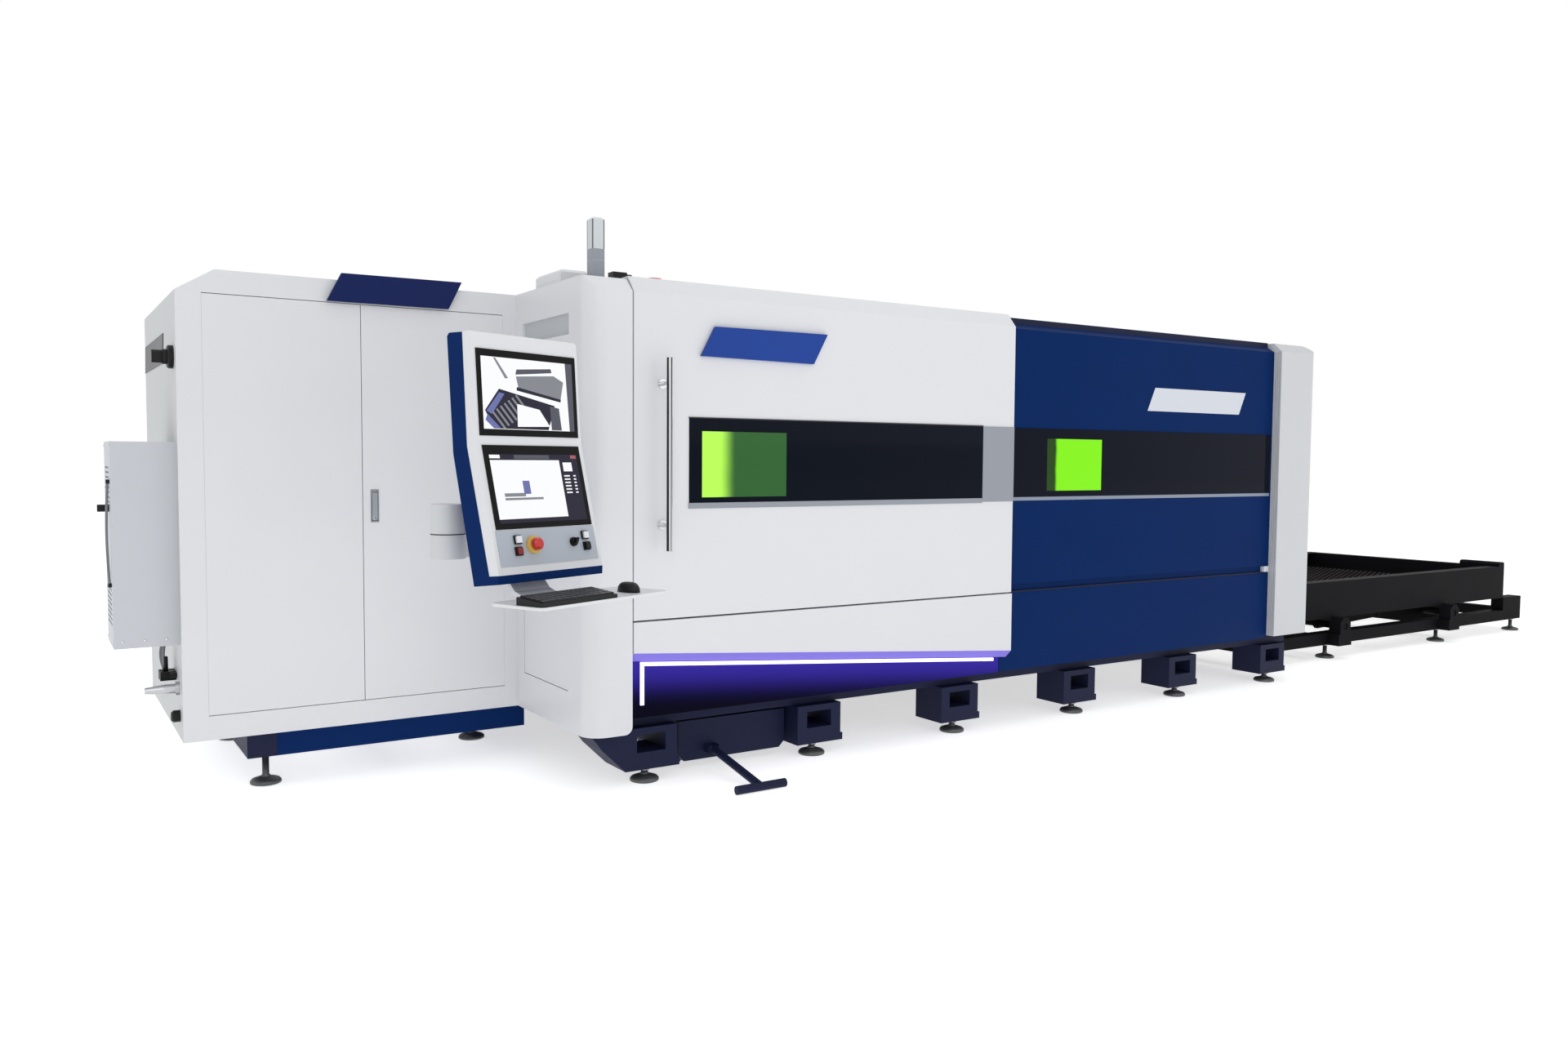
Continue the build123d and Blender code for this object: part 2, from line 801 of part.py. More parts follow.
def table_base():
    """Exchange table's floor frame, with bearing brackets for the rocker shafts."""
    z0 = table_rail_bottom
    z1 = table_rail_top
    wide = table_rail_width
    pieces = []
    for y in (table_front, table_back - wide):
        pieces.append(block(table_left, table_right, y, y + wide, z0, z1))
        pieces.append(block(channel_right + 8, table_right, y, y + wide, z1, channel_bottom))
    inner_y0 = table_front + wide
    inner_y1 = table_back - wide
    for x in (table_left, rocker_near_x - 250, rocker_far_x + 170, table_right - 80):
        pieces.append(block(x, x + 80, inner_y0, inner_y1, z0, z1))
    outer = 90.0
    for x in (rocker_near_x, rocker_far_x):
        pieces.append(block(x - 80, x + 80, table_front - outer, table_front, z0, z1))
        pieces.append(block(x - 80, x + 80, table_back, table_back + outer, z0, z1))
        pieces.append(bearing_block(x, table_front - outer, table_front - running_gap))
        pieces.append(bearing_block(x, table_back + running_gap, table_back + outer))
    for y in (table_front, table_back - wide):
        pieces.append(block(bed_right, table_left, y, y + wide, z0, z1))
        pieces.append(block(bed_right, bed_right + 20, y, y + wide, z1, channel_bottom - 2))
    base = join(pieces)
    hole = rocker_shaft_diameter + 2 * bearing_gap
    for x in (rocker_near_x, rocker_far_x):
        base -= bar_y(x, table_front - outer - 1, table_back + outer + 1, rocker_shaft_z, hole)
    return base


def lift_frame():
    """Lifting frame of the exchange table: two channels with two pallet levels."""
    t = track_thickness
    pieces = []
    for side, inward in ((table_front, 1), (table_back, -1)):
        web = sorted((side, side + inward * t))
        flange = sorted((side, side + inward * table_rail_width))
        pad = sorted((side + inward * table_rail_width, side + inward * 200))
        pieces += [
            block(table_left, channel_right, *web, channel_bottom, track_top),
            block(table_left, channel_right, *flange, track_top - t, track_top),
            block(table_left, channel_right, *flange, channel_bottom, channel_bottom + t),
            block(6790, 7010, *pad, channel_bottom, channel_bottom + t),
        ]
    end = channel_right - 80
    pieces.append(block(end, channel_right, table_front + t, table_back - t, 375, track_top))
    housing = block(end, channel_right, table_front, table_front + 330, 375, 606)
    pieces.append(chamfer(housing.edges().filter_by(Axis.Y).group_by(Axis.Z)[-1], 14))
    return join(pieces)


def rocker(x, direction, inset):
    """Torsion shaft with two long arms and rollers under the lifting frame."""
    shaft = bar_y(x, table_front - 84, table_back + 84, rocker_shaft_z, rocker_shaft_diameter)
    roller_z = channel_bottom - rocker_slack - rocker_roller_diameter / 2
    rise = roller_z - rocker_shaft_z
    reach = sqrt(rocker_length ** 2 - rise ** 2)
    tip = x + direction * reach
    across = 26.0
    for y in (table_front + inset, table_back - inset - across):
        arm = along_y([
            (x - direction * 38, rocker_shaft_z - 18),
            (x - direction * 38, rocker_shaft_z + 18),
            (x - direction * 18, rocker_shaft_z + 38),
            (x, rocker_shaft_z + 38),
            (tip, roller_z + 20),
            (tip, roller_z - 20),
            (x, rocker_shaft_z - 38),
            (x - direction * 18, rocker_shaft_z - 38),
        ], y, y + across)
        arm += bar_y(tip, y - 4, y + across + 4, roller_z, rocker_roller_diameter)
        shaft += arm
    return shaft


def slag_cart():
    """Open scrap tray on wheels, with hinge ears for the tow bar."""
    tray = block(cart_left, cart_right, cart_front, cart_back, cart_bottom, cart_top)
    tray = chamfer(tray.edges().filter_by(Axis.Y).group_by(Axis.Z)[0], 30)
    w = cart_wall
    tray -= block(cart_left + w, cart_right - w, cart_front + w, cart_back - w,
                  cart_bottom + 32, cart_top + 1)
    for y in (cart_front + 160, (cart_front + cart_back) / 2, cart_back - 160):
        for x in (cart_left + 70, cart_right - 70):
            tray += bar_x(x - 15, x + 15, y, 30, 60)
            tray += block(x - 8, x + 8, y - 20, y + 20, 30, cart_bottom + 10)
    ear_gap = tow_tube + 2
    for side in (-1, 1):
        near = tow_x + side * ear_gap / 2
        far = near + side * 8
        tray += block(*sorted((near, far)), tow_pivot_y - 18, cart_front, tow_pivot_z - 18,
                      tow_pivot_z + 18)
    hole = 14 + 2 * bearing_gap
    return tray - bar_x(tow_x - 40, tow_x + 40, tow_pivot_y, tow_pivot_z, hole)


def tow_bar():
    """Tow bar with a cross handle that lies on the floor."""
    grip = 38.0
    floor_z = grip / 2
    eye = bar_x(tow_x - tow_tube / 2, tow_x + tow_tube / 2, tow_pivot_y, tow_pivot_z, 34)
    pin_half = tow_tube / 2 + 13
    pin = bar_x(tow_x - pin_half, tow_x + pin_half, tow_pivot_y, tow_pivot_z, 14)
    drop = tow_pivot_z - floor_z
    length = sqrt(tow_reach ** 2 + drop ** 2)
    lean = degrees(atan2(drop, tow_reach))
    tube = Pos(0, -length / 2, 0) * Rot(90, 0, 0) * Cylinder(tow_tube / 2, length)
    tube = Pos(tow_x, tow_pivot_y, tow_pivot_z) * Rot(lean, 0, 0) * tube
    handle = bar_x(tow_x - tow_bar_width / 2, tow_x + tow_bar_width / 2,
                   tow_pivot_y - tow_reach, floor_z, grip)
    return eye + pin + tube + handle


def lift_gate():
    """Plate that closes the pallet opening, held up in its guides."""
    wall = cabin_length - skin
    x1 = wall - (8 - seat_gap)
    y0 = gate_front - 24 + running_gap
    y1 = gate_back + 24 - running_gap
    z0 = gate_opening_top + 10
    plate = block(x1 - gate_thickness, x1, y0, y1, z0, z0 + gate_height - 20)
    for z in (z0 + 60, z0 + gate_height - 110):
        plate += block(x1 - gate_thickness - 20, x1 - gate_thickness, y0 + 60, y1 - 60, z, z + 30)
    return plate


def cabinet_outline(inset):
    """Cabinet outline in x and z, with the sloped left shoulder."""
    left = -cabinet_length + inset
    right = 0 - inset
    top = cabin_top - inset
    return [
        (left, cabin_bottom + inset),
        (left, cabin_top - cabinet_chamfer_z - inset * 0.4),
        (-cabinet_length + cabinet_chamfer_x + inset * 0.4, top),
        (right, top),
        (right, cabin_bottom + inset),
    ]


def cabinet_shell():
    """Electrical cabinet with an open front between its frames."""
    shell = along_y(cabinet_outline(0), cabinet_front, cabinet_back)
    rear = [e for e in shell.edges().filter_by(Axis.Z)
            if e.center().Y > cabinet_back - 1 and e.center().X < -cabinet_length + 1]
    shell = fillet(rear, 20)
    shell -= along_y(cabinet_outline(cabinet_wall), cabinet_front + cabinet_wall,
                     cabinet_back - cabinet_wall)
    shell -= block(cabinet_door_left_x - hinge_gap, cabinet_door_right_x + hinge_gap,
                   cabinet_front - 1, cabinet_front + cabinet_wall + 1,
                   cabinet_door_bottom - door_gap, cabinet_door_top + door_gap)
    return shell


def cabinet_door(x0, x1):
    """Flush cabinet door with a stiffening channel behind."""
    y0 = cabinet_front
    door = block(x0, x1, y0, y0 + cabinet_door_thickness, cabinet_door_bottom, cabinet_door_top)
    return door


def cabinet_door_left():
    """Left cabinet door."""
    return cabinet_door(cabinet_door_left_x, cabinet_door_seam_x - door_gap / 2)


def cabinet_door_right():
    """Right cabinet door, with the pocket for its flush lever."""
    door = cabinet_door(cabinet_door_seam_x + door_gap / 2, cabinet_door_right_x)
    return door - block(lever_x - lever_width / 2 - 4, lever_x + lever_width / 2 + 4,
                        cabinet_front - 1, cabinet_front + 14, lever_bottom - 4, lever_top + 4)


lever_x = -656.0
lever_width = 24.0
lever_bottom = 1156.0
lever_top = 1284.0


def lock_lever():
    """Flush lever with its pivot at the top of the pocket and a keyhole at the bottom."""
    half = lever_width / 2
    y = cabinet_front
    bar = block(lever_x - half, lever_x + half, y - 2, y + 7, lever_bottom, lever_top - 8)
    bar = chamfer(bar.edges().filter_by(Axis.Y), 5)
    pivot = bar_x(lever_x - half - 3.9, lever_x + half + 3.9, y + 7, lever_top - 10, 12)
    lock = bar_y(lever_x, y - 3, y + 4, lever_bottom + 14, 15)
    return bar + pivot + lock


def isolator_handle():
    """Hub and grip of the main switch on the cabinet's side."""
    x = -cabinet_length - isolator_rosette - seat_gap
    hub = bar_x(x - 18, x, isolator_y, isolator_z, 62)
    grip = block(x - 56, x - 8, isolator_y - 14, isolator_y + 14, isolator_z - 26,
                 isolator_z + 26)
    grip = chamfer(grip.edges().filter_by(Axis.X), 7)
    return hub + grip


def cabinet_plinth():
    """Blue channel frame under the cabinet, with the dark foot box at its left end."""
    z0 = plinth_bottom
    z1 = cabin_bottom
    right = bed_left
    plinth = block(plinth_left, right, plinth_front, plinth_front + 90, z0, z1)
    plinth += block(plinth_left, right, plinth_back - 90, plinth_back, z0, z1)
    for x in (plinth_left, -620.0, right - 160):
        wide = 150.0
        plinth += block(x, x + wide, plinth_front, plinth_back, z0, z1)
    return plinth


def cooler():
    """Cooling unit on the cabinet's side, with louvres in its outer face."""
    x1 = -cabinet_length
    x0 = x1 - cooler_depth
    y1 = cooler_front + cooler_width
    box = block(x0, x1, cooler_front, y1, cooler_bottom, cooler_top)
    upright = box.edges().filter_by(Axis.Z).filter_by(lambda e: e.center().X < x0 + 1)
    box = chamfer(upright, 5)
    for start in (cooler_bottom + 90, cooler_top - 250):
        for i in range(8):
            z = start + i * 20
            box -= block(x0 - 1, x0 + 8, cooler_front + 50, y1 - 50, z, z + 9)
    return box


def side_fittings():
    """Black glands on the cooler and the cabinet, and the chrome gas inlet with its valve."""
    cooler_face = -cabinet_length - cooler_depth
    knob = bar_x(cooler_face - 42, cooler_face, 985, 1221, 30)
    wall = -cabinet_length
    plug = bar_x(wall - 34, wall, 925, 349, 50)
    plug = chamfer(plug.edges().filter_by(GeomType.CIRCLE).sort_by(Axis.X)[0], 8)
    hexagon = make_face(RegularPolygon(13, 6).edges())
    gland = extrude(Plane.YZ.offset(wall - 26) * Pos(1010, 508) * hexagon, amount=26)
    y = 935.0
    z = 464.0
    inlet = bar_x(wall - 16, wall, y, z, 56)
    inlet += bar_x(wall - 60, wall - 16, y, z, 40)
    inlet += Pos(wall - 94, y, z) * Rot(0, -90, 0) * Cone(20, 13, 68)
    sockets = []
    for cy in cable_rows:
        sockets.append(block(wall - 60, wall, cy - 17, cy + 17, 482, 520))
    rosette = bar_x(wall - isolator_rosette, wall, isolator_y, isolator_z, 96)
    rosette = chamfer(rosette.edges().filter_by(GeomType.CIRCLE).sort_by(Axis.X)[0], 5)
    return [knob, plug, gland, inlet, rosette] + sockets


cable_rows = (985.0 + 70, 985.0 + 120)


def cabinet_cables():
    """Two lead-ins between the cooler and the wall sockets, one with a sleeve."""
    diameter = 14.0
    x = -cabinet_length - 38
    bottom = 520.0
    first, second = cable_rows
    sleeved = bar_z(x, first, bottom, cooler_bottom, diameter)
    sleeved += bar_z(x, first, bottom, bottom + 64, 20)
    return [sleeved, bar_z(x, second, bottom, cooler_bottom, diameter)]


def electrics_plate():
    """Mounting plate with drives, contactor rows, transformer and duct."""
    y = cabinet_back - cabinet_wall
    pieces = [block(-1360, -60, y - 12, y, 420, 2080)]
    face = y - 12
    for i in range(5):
        x = -1300 + i * 150
        pieces.append(block(x, x + 110, face - 190, face, 1560, 1900))
    for row in (960.0, 1260.0):
        pieces.append(block(-1300, -160, face - 80, face, row, row + 110))
    pieces.append(block(-420, -140, face - 260, face, 1560, 1840))
    for z in (1140.0, 1440.0):
        pieces.append(block(-1320, -120, face - 60, face, z, z + 60))
    return pieces


def laser_source():
    """Fibre laser source standing on the cabinet floor."""
    floor = cabin_bottom + cabinet_wall
    body = block(-1340, -760, 980, 1760, floor, floor + 560)
    body = chamfer(body.edges().filter_by(Axis.Y).group_by(Axis.Z)[-1], 12)
    for x in (-1260.0, -960.0):
        body -= block(x, x + 160, 979, 986, floor + 120, floor + 420)
    return body


def arm_bracket():
    """Wall bracket with two ears and a pin for the swing arm."""
    x, y = wall_pivot
    half = 36.0
    pieces = [block(-14, 0, y - half - 4, y + half + 4, arm_bottom - 30, arm_seam + 50)]
    for z in (arm_bottom - 14, arm_seam + seat_gap):
        pieces.append(block(x, -14, y - half, y + half, z, z + 14 - seat_gap))
        pieces.append(bar_z(x, y, z, z + 14 - seat_gap, 2 * half))
    pieces.append(bar_z(x, y, arm_bottom - 14, arm_seam + 14, 30))
    return join(pieces)


def link(start, finish, width, z0, z1):
    """A straight box between two upright pivots."""
    dx = finish[0] - start[0]
    dy = finish[1] - start[1]
    turn = degrees(atan2(dy, dx))
    middle_x = (start[0] + finish[0]) / 2
    middle_y = (start[1] + finish[1]) / 2
    beam = Box(sqrt(dx * dx + dy * dy), width, z1 - z0)
    return Pos(middle_x, middle_y, (z0 + z1) / 2) * Rot(0, 0, turn) * beam


def arm_lower():
    """Lower arm, from the wall bracket to the knuckle, with the knuckle's pin."""
    arm = link(wall_pivot, knuckle, 74, arm_bottom, arm_seam)
    arm += bar_z(*wall_pivot, arm_bottom, arm_seam, pivot_diameter)
    arm += bar_z(*knuckle, arm_bottom, arm_seam, knuckle_diameter)
    arm -= bar_z(*wall_pivot, arm_bottom - 1, arm_seam + 1, 30 + 2 * bearing_gap)
    return arm + bar_z(*knuckle, arm_seam, arm_top - 20, 30)


def arm_upper():
    """Upper arm, from the knuckle to the console's pivot."""
    z0 = arm_seam + seat_gap
    arm = link(knuckle, console_pivot, 74, z0, arm_top)
    arm += bar_z(*knuckle, z0, arm_top, knuckle_diameter)
    arm += bar_z(*console_pivot, z0, arm_top, pivot_diameter)
    arm -= bar_z(*knuckle, z0 - 1, arm_top - 19, 30 + 2 * bearing_gap)
    return arm - bar_z(*console_pivot, z0 - 1, arm_top + 1, 30 + 2 * bearing_gap)


console_plane = Plane(
    origin=(console_x, console_y, console_z),
    x_dir=(cos(radians(console_turn)), sin(radians(console_turn)), 0),
    z_dir=(0, 0, 1),
)


def console_place(solid):
    """Moves a solid from the console's own axes (right, back, up) to the machine."""
    return console_plane * solid


def console_prism(points, half):
    """A prism across the console from its outline in forward distance and height."""
    outline = [(-forward, z) for forward, z in points]
    return console_place(along_x(outline, -half, half))


def face_tilt(top, foot):
    """Angle by which a part of the console's face leans back."""
    return degrees(atan2(foot[0] - top[0], top[1] - foot[1]))


upper_tilt = face_tilt(face_top, face_bend)
lower_tilt = face_tilt(face_bend, face_foot)


def on_line(first, second, z):
    """Forward distance of a line on the console's outline at a height."""
    share = (z - first[1]) / (second[1] - first[1])
    return first[0] + share * (second[0] - first[0])


def console_foot(forward):
    """Height of the console's underside at a forward distance."""
    share = (forward - shell_foot[0]) / (lip_foot[0] - shell_foot[0])
    return shell_foot[1] + share * (lip_foot[1] - shell_foot[1])


def console_back():
    """Blue rear shell of the console, with the bottom lip and the arm's mount."""
    outline = [
        (-122, 186),
        (-112, 197),
        (-50, 197),
        (-30, -180),
        (72, -607),
        face_foot,
        lip_foot,
        shell_foot,
        (-96, -205),
    ]
    pieces = [console_prism(outline, console_half_width)]
    x, y = console_pivot
    reach = 172.0
    turn = radians(console_turn)
    into_shell = (x + sin(turn) * reach, y - cos(turn) * reach)
    lug = 14.0
    pieces.append(bar_z(x, y, arm_seam - lug, arm_top + lug, 30))
    for z in (arm_seam - lug, arm_top + seat_gap):
        pieces.append(bar_z(x, y, z, z + lug - seat_gap, 80))
        pieces.append(link((x, y), into_shell, 80, z, z + lug - seat_gap))
    return join(pieces)


def console_front():
    """White front shell of the console, with pockets for the screens and the button plate."""
    outline = [
        (-50, 197),
        (face_top[0] - 10, face_top[1]),
        (face_top[0], face_top[1] - 10),
        face_bend,
        face_foot,
        (72, -607),
        (-30, -180),
    ]
    shell = console_prism(outline, console_half_width - 1)
    for plate in screens():
        shell -= plate
    pocket = console_plate(screen_width, button_plate_height, panel_forward, panel_up,
                           lower_tilt, 6, panel_proud)
    return shell - pocket


def console_plate(width, height, forward, up, tilt, thickness, proud):
    """A thin plate on the console's front, leaning back by the tilt."""
    plate = Pos(0, thickness / 2 - proud, 0) * Box(width, thickness, height)
    return console_place(Pos(0, -forward, up) * Rot(-tilt, 0, 0) * plate)


def screens():
    """Upper and lower monitors in their black bezels."""
    proud = 3.0
    upper = console_plate(screen_width, screen_height, on_line(face_top, face_bend, 0), 0,
                          upper_tilt, 10, proud)
    lower_up = -315.5
    lower = console_plate(lower_screen_width, screen_height - 2,
                          on_line(face_bend, face_foot, lower_up), lower_up,
                          lower_tilt, 10, proud)
    return [upper, lower]


panel_up = -518.0
panel_forward = on_line(face_bend, face_foot, panel_up)
panel_proud = 3.0


def panel_spot(place, solid):
    """Puts a solid, modelled on the y axis with -y outward, at a place on the button plate."""
    across, along = place
    t = radians(lower_tilt)
    spot = (across, -(panel_forward - sin(t) * along), panel_up + cos(t) * along)
    return console_place(Pos(*spot) * Rot(-lower_tilt, 0, 0) * solid)


button_places = {
    "push_button_white_left": (-146.0, 27.0),
    "push_button_red": (-148.0, -12.0),
    "push_button_white_right": (177.0, 27.0),
    "push_button_black": (179.0, -12.0),
}
stop_place = (-78.0, 6.0)
selector_place = (116.0, 6.0)
button_side = 23.0
button_travel = 3.0
bezel_height = 7.0
stop_collar = 60.0
stop_collar_height = 12.0
stop_stem = 26.0
stop_travel = 5.0
selector_base = 32.0
selector_base_height = 9.0


def button_bezel():
    """Square frame around a push button."""
    y = -panel_proud
    outer = button_side + 7
    frame = Pos(0, y - bezel_height / 2, 0) * Box(outer, bezel_height, outer)
    inner = button_side + 2 * running_gap
    return frame - Pos(0, y - bezel_height / 2, 0) * Box(inner, bezel_height + 2, inner)


def button_panel():
    """Grey plate with the bezels, the emergency stop's collar and the selector's base."""
    plate = console_plate(screen_width, button_plate_height, panel_forward, panel_up,
                          lower_tilt, 6, panel_proud)
    pieces = [plate]
    for place in button_places.values():
        pieces.append(panel_spot(place, button_bezel()))
    y = -panel_proud
    collar = bar_y(0, y - stop_collar_height, y, 0, stop_collar)
    collar -= bar_y(0, y - stop_collar_height - 1, y, 0, stop_stem + 2 * running_gap)
    pieces.append(panel_spot(stop_place, collar))
    pieces.append(panel_spot(selector_place,
                             bar_y(0, y - selector_base_height, y, 0, selector_base)))
    return join(pieces)


def push_button(name):
    """Square push button, held off the plate by its travel."""
    inner = panel_proud + button_travel + running_gap
    cap = Pos(0, -inner - 5, 0) * Box(button_side, 10, button_side)
    cap = chamfer(cap.edges().filter_by(Axis.Y), 2)
    return panel_spot(button_places[name], cap)


def emergency_stop():
    """Mushroom head and stem of the emergency stop, held off its collar by the travel."""
    inner = panel_proud + stop_travel + running_gap
    under = panel_proud + stop_collar_height + stop_travel + running_gap
    stem = bar_y(0, -under, -inner, 0, stop_stem)
    head = bar_y(0, -under - 20, -under, 0, 42)
    head = chamfer(head.edges().filter_by(GeomType.CIRCLE).sort_by(Axis.Y)[0], 6)
    return panel_spot(stop_place, stem + head)


def selector_switch():
    """Rotary selector with a ridge grip, on its round base."""
    face = panel_proud + selector_base_height + seat_gap
    knob = bar_y(0, -face - 4, -face, 0, 28)
    grip = Pos(0, -face - 10, 0) * Rot(0, 35, 0) * Box(8, 12, 26)
    return panel_spot(selector_place, knob + grip)


def keyboard_tray():
    """Keyboard shelf on its curved neck."""
    z1 = tray_top - console_z
    z0 = z1 - tray_thickness
    plate = block(tray_left, tray_right, -tray_front, -tray_back, z0, z1)
    plate = fillet(plate.edges().filter_by(Axis.Z), 30)
    neck_x0 = -130.0
    neck_x1 = 35.0
    outline = [
        (-30, console_foot(30)),
        (-42, console_foot(42)),
        (-66, z1 + 20),
        (-tray_back - 8, z1),
        (-tray_back - 8, z0),
        (-56, z1 + 8),
    ]
    neck = along_x(outline, neck_x0, neck_x1)
    return console_place(plate + neck)


def keyboard():
    """Keyboard wedge that rests on the shelf, with raised key rows."""
    length = 350.0
    depth = 118.0
    front_height = 12.0
    back_height = 26.0
    z = tray_top - console_z + seat_gap
    x0 = -278.0
    y0 = -345.0
    outline = [
        (y0, z),
        (y0, z + front_height),
        (y0 + depth, z + back_height),
        (y0 + depth, z),
    ]
    body = along_x(outline, x0, x0 + length)
    slope = (back_height - front_height) / depth
    rows = 5
    for i in range(rows):
        ya = y0 + 8 + i * 21
        yb = ya + 18
        za = z + front_height + slope * (ya - y0)
        zb = z + front_height + slope * (yb - y0)
        row = [(ya, za - 1), (ya + 2, za + 4), (yb - 2, zb + 4), (yb, zb - 1)]
        body += along_x(row, x0 + 8, x0 + length - 8)
    return console_place(body)


def mouse():
    """Mouse that rests on the shelf."""
    z = tray_top - console_z + seat_gap
    body = Box(62, 108, 36)
    body = chamfer(body.edges().filter_by(Axis.Z), 18)
    body = chamfer(body.faces().sort_by(Axis.Z)[-1].edges(), 11)
    return console_place(Pos(225, -262, z + 18) * Rot(0, 0, -12) * body)


def write(name, shape):
    """Moves a sub-part to the machine's origin and writes its file."""
    solids = shape if isinstance(shape, list) else [shape]
    moved = [Pos(-foot_first_x, -foot_front_y, 0) * solid for solid in solids]
    part = moved[0] if len(moved) == 1 else Compound(children=moved)
    export_step(part, f"parts/{name}.step")


def build():
    """Builds every sub-part by its name."""
    door_y = 0.0
    glass_y = blue_setback
    parts = {
        "bed_frame": bed_frame(),
        "levelling_feet": levelling_feet(),
        "base_panel": base_panel(),
        "led_strip": led_strip(),
        "skirt_panel": skirt_panel(),
        "left_end_shell": left_end_shell(),
        "end_access_panel": end_access_panel(),
        "fixed_front_panel": fixed_front_panel(),
        "fixed_window": window_glass(fixed_glass_left, fixed_glass_right, fixed_pane, glass_y),
        "fixed_green_pane": green_pane(fixed_pane, glass_y),
        "right_end_shell": right_end_shell(),
        "rear_wall": rear_wall(),
        "roof_panel": roof_panel(),
        "roof_fittings": roof_fittings(),
        "signal_tower": signal_tower(),
        "door_rails": door_rails(),
        "x_rails": x_rails(),
        "cabinet_shell": cabinet_shell(),
        "cabinet_plinth": cabinet_plinth(),
        "cooler": cooler(),
        "side_fittings": side_fittings(),
        "cabinet_cables": cabinet_cables(),
        "electrics_plate": electrics_plate(),
        "laser_source": laser_source(),
        "table_base": table_base(),
        "arm_bracket": arm_bracket(),
        "door_shell": door_shell(),
        "door_window": window_glass(door_glass_left, door_glass_right, door_pane, door_y),
        "door_green_pane": green_pane(door_pane, door_y),
        "door_handle": door_handle(),
        "cabinet_door_left": cabinet_door_left(),
        "cabinet_door_right": cabinet_door_right(),
        "lock_lever": lock_lever(),
        "isolator_handle": isolator_handle(),
        "arm_lower": arm_lower(),
        "arm_upper": arm_upper(),
        "console_back": console_back(),
        "console_front": console_front(),
        "screens": screens(),
        "button_panel": button_panel(),
        "emergency_stop": emergency_stop(),
        "selector_switch": selector_switch(),
        "keyboard_tray": keyboard_tray(),
        "keyboard": keyboard(),
        "mouse": mouse(),
        "gantry_beam": gantry_beam(),
        "carriage": carriage(),
        "cutting_head": cutting_head(),
        "pallet_upper": pallet(pallet_left, track_top),
        "pallet_lower": pallet(pallet_left + pallet_travel, channel_bottom + track_thickness),
        "lift_frame": lift_frame(),
        "rocker_near": rocker(rocker_near_x, 1, 120),
        "rocker_far": rocker(rocker_far_x, -1, 166),
        "slag_cart": slag_cart(),
        "tow_bar": tow_bar(),
        "lift_gate": lift_gate(),
    }
    for name in button_places:
        parts[name] = push_button(name)
    return parts


if __name__ == "__main__":
    os.makedirs("parts", exist_ok=True)
    for part_name, part_shape in build().items():
        write(part_name, part_shape)
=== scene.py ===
"""Looks of a sheet-metal laser cutting machine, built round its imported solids.

Places are given in millimetres from the cabin's front left corner, as in the part's source,
and are turned to the row's metres by ``at``.
"""

import logging
import math
from dataclasses import dataclass, field
from enum import Enum
from typing import Callable, Iterable, Optional, Sequence

import bmesh
import bpy
from mathutils import Matrix, Vector

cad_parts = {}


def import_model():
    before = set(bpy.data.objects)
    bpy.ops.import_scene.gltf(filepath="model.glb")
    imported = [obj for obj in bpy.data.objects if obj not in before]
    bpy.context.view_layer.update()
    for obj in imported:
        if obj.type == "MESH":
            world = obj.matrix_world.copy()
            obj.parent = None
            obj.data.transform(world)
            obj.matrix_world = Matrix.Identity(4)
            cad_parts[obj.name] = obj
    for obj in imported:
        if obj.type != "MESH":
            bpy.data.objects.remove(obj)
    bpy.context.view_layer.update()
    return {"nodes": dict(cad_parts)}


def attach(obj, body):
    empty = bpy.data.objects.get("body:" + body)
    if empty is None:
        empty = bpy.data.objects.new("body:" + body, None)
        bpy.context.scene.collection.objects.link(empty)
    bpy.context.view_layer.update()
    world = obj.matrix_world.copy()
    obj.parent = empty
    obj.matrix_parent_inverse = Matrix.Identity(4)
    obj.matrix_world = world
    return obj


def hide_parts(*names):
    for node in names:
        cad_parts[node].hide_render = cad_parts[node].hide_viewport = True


LOG = logging.getLogger("laser_cutter")
Colour = tuple[float, float, float]
Point = tuple[float, float, float]
FIRST_FOOT = (336.0, 150.0)
SKIRT_LEFT = (211.0, 563.0)
SKIRT_RIGHT = (2431.0, 389.0)


def at(x: float, y: float, z: float) -> Vector:
    """Turn a place on the machine into the row's metres.

    Args:
        x: Distance along the machine, mm.
        y: Distance from the front, mm.
        z: Height, mm.

    Returns:
        The point in the row frame.
    """
    return Vector(((x - FIRST_FOOT[0]) / 1000, (y - FIRST_FOOT[1]) / 1000, z / 1000))


def paint(red: int, green: int, blue: int) -> Colour:
    """Turn a paint chip's screen values into the shader's linear colour.

    Args:
        red: Red, 0 to 255.
        green: Green, 0 to 255.
        blue: Blue, 0 to 255.

    Returns:
        The linear colour.
    """
    def linear(value: int) -> float:
        """Return one channel's linear value."""
        share = value / 255
        return share / 12.92 if share <= 0.04045 else ((share + 0.055) / 1.055) ** 2.4
    return linear(red), linear(green), linear(blue)


def skirt_edge(x: float) -> float:
    """Return the height of the skirt's sloping lower edge at a place along it, in mm."""
    (left, high), (right, low) = SKIRT_LEFT, SKIRT_RIGHT
    return high + (x - left) * (low - high) / (right - left)


def rgba(colour: Colour) -> tuple[float, float, float, float]:
    """Return a colour with full cover."""
    return (*colour, 1.0)


class Axis(Enum):
    """Direction that a round piece or a grain runs in."""

    X = "x"
    Y = "y"
    Z = "z"


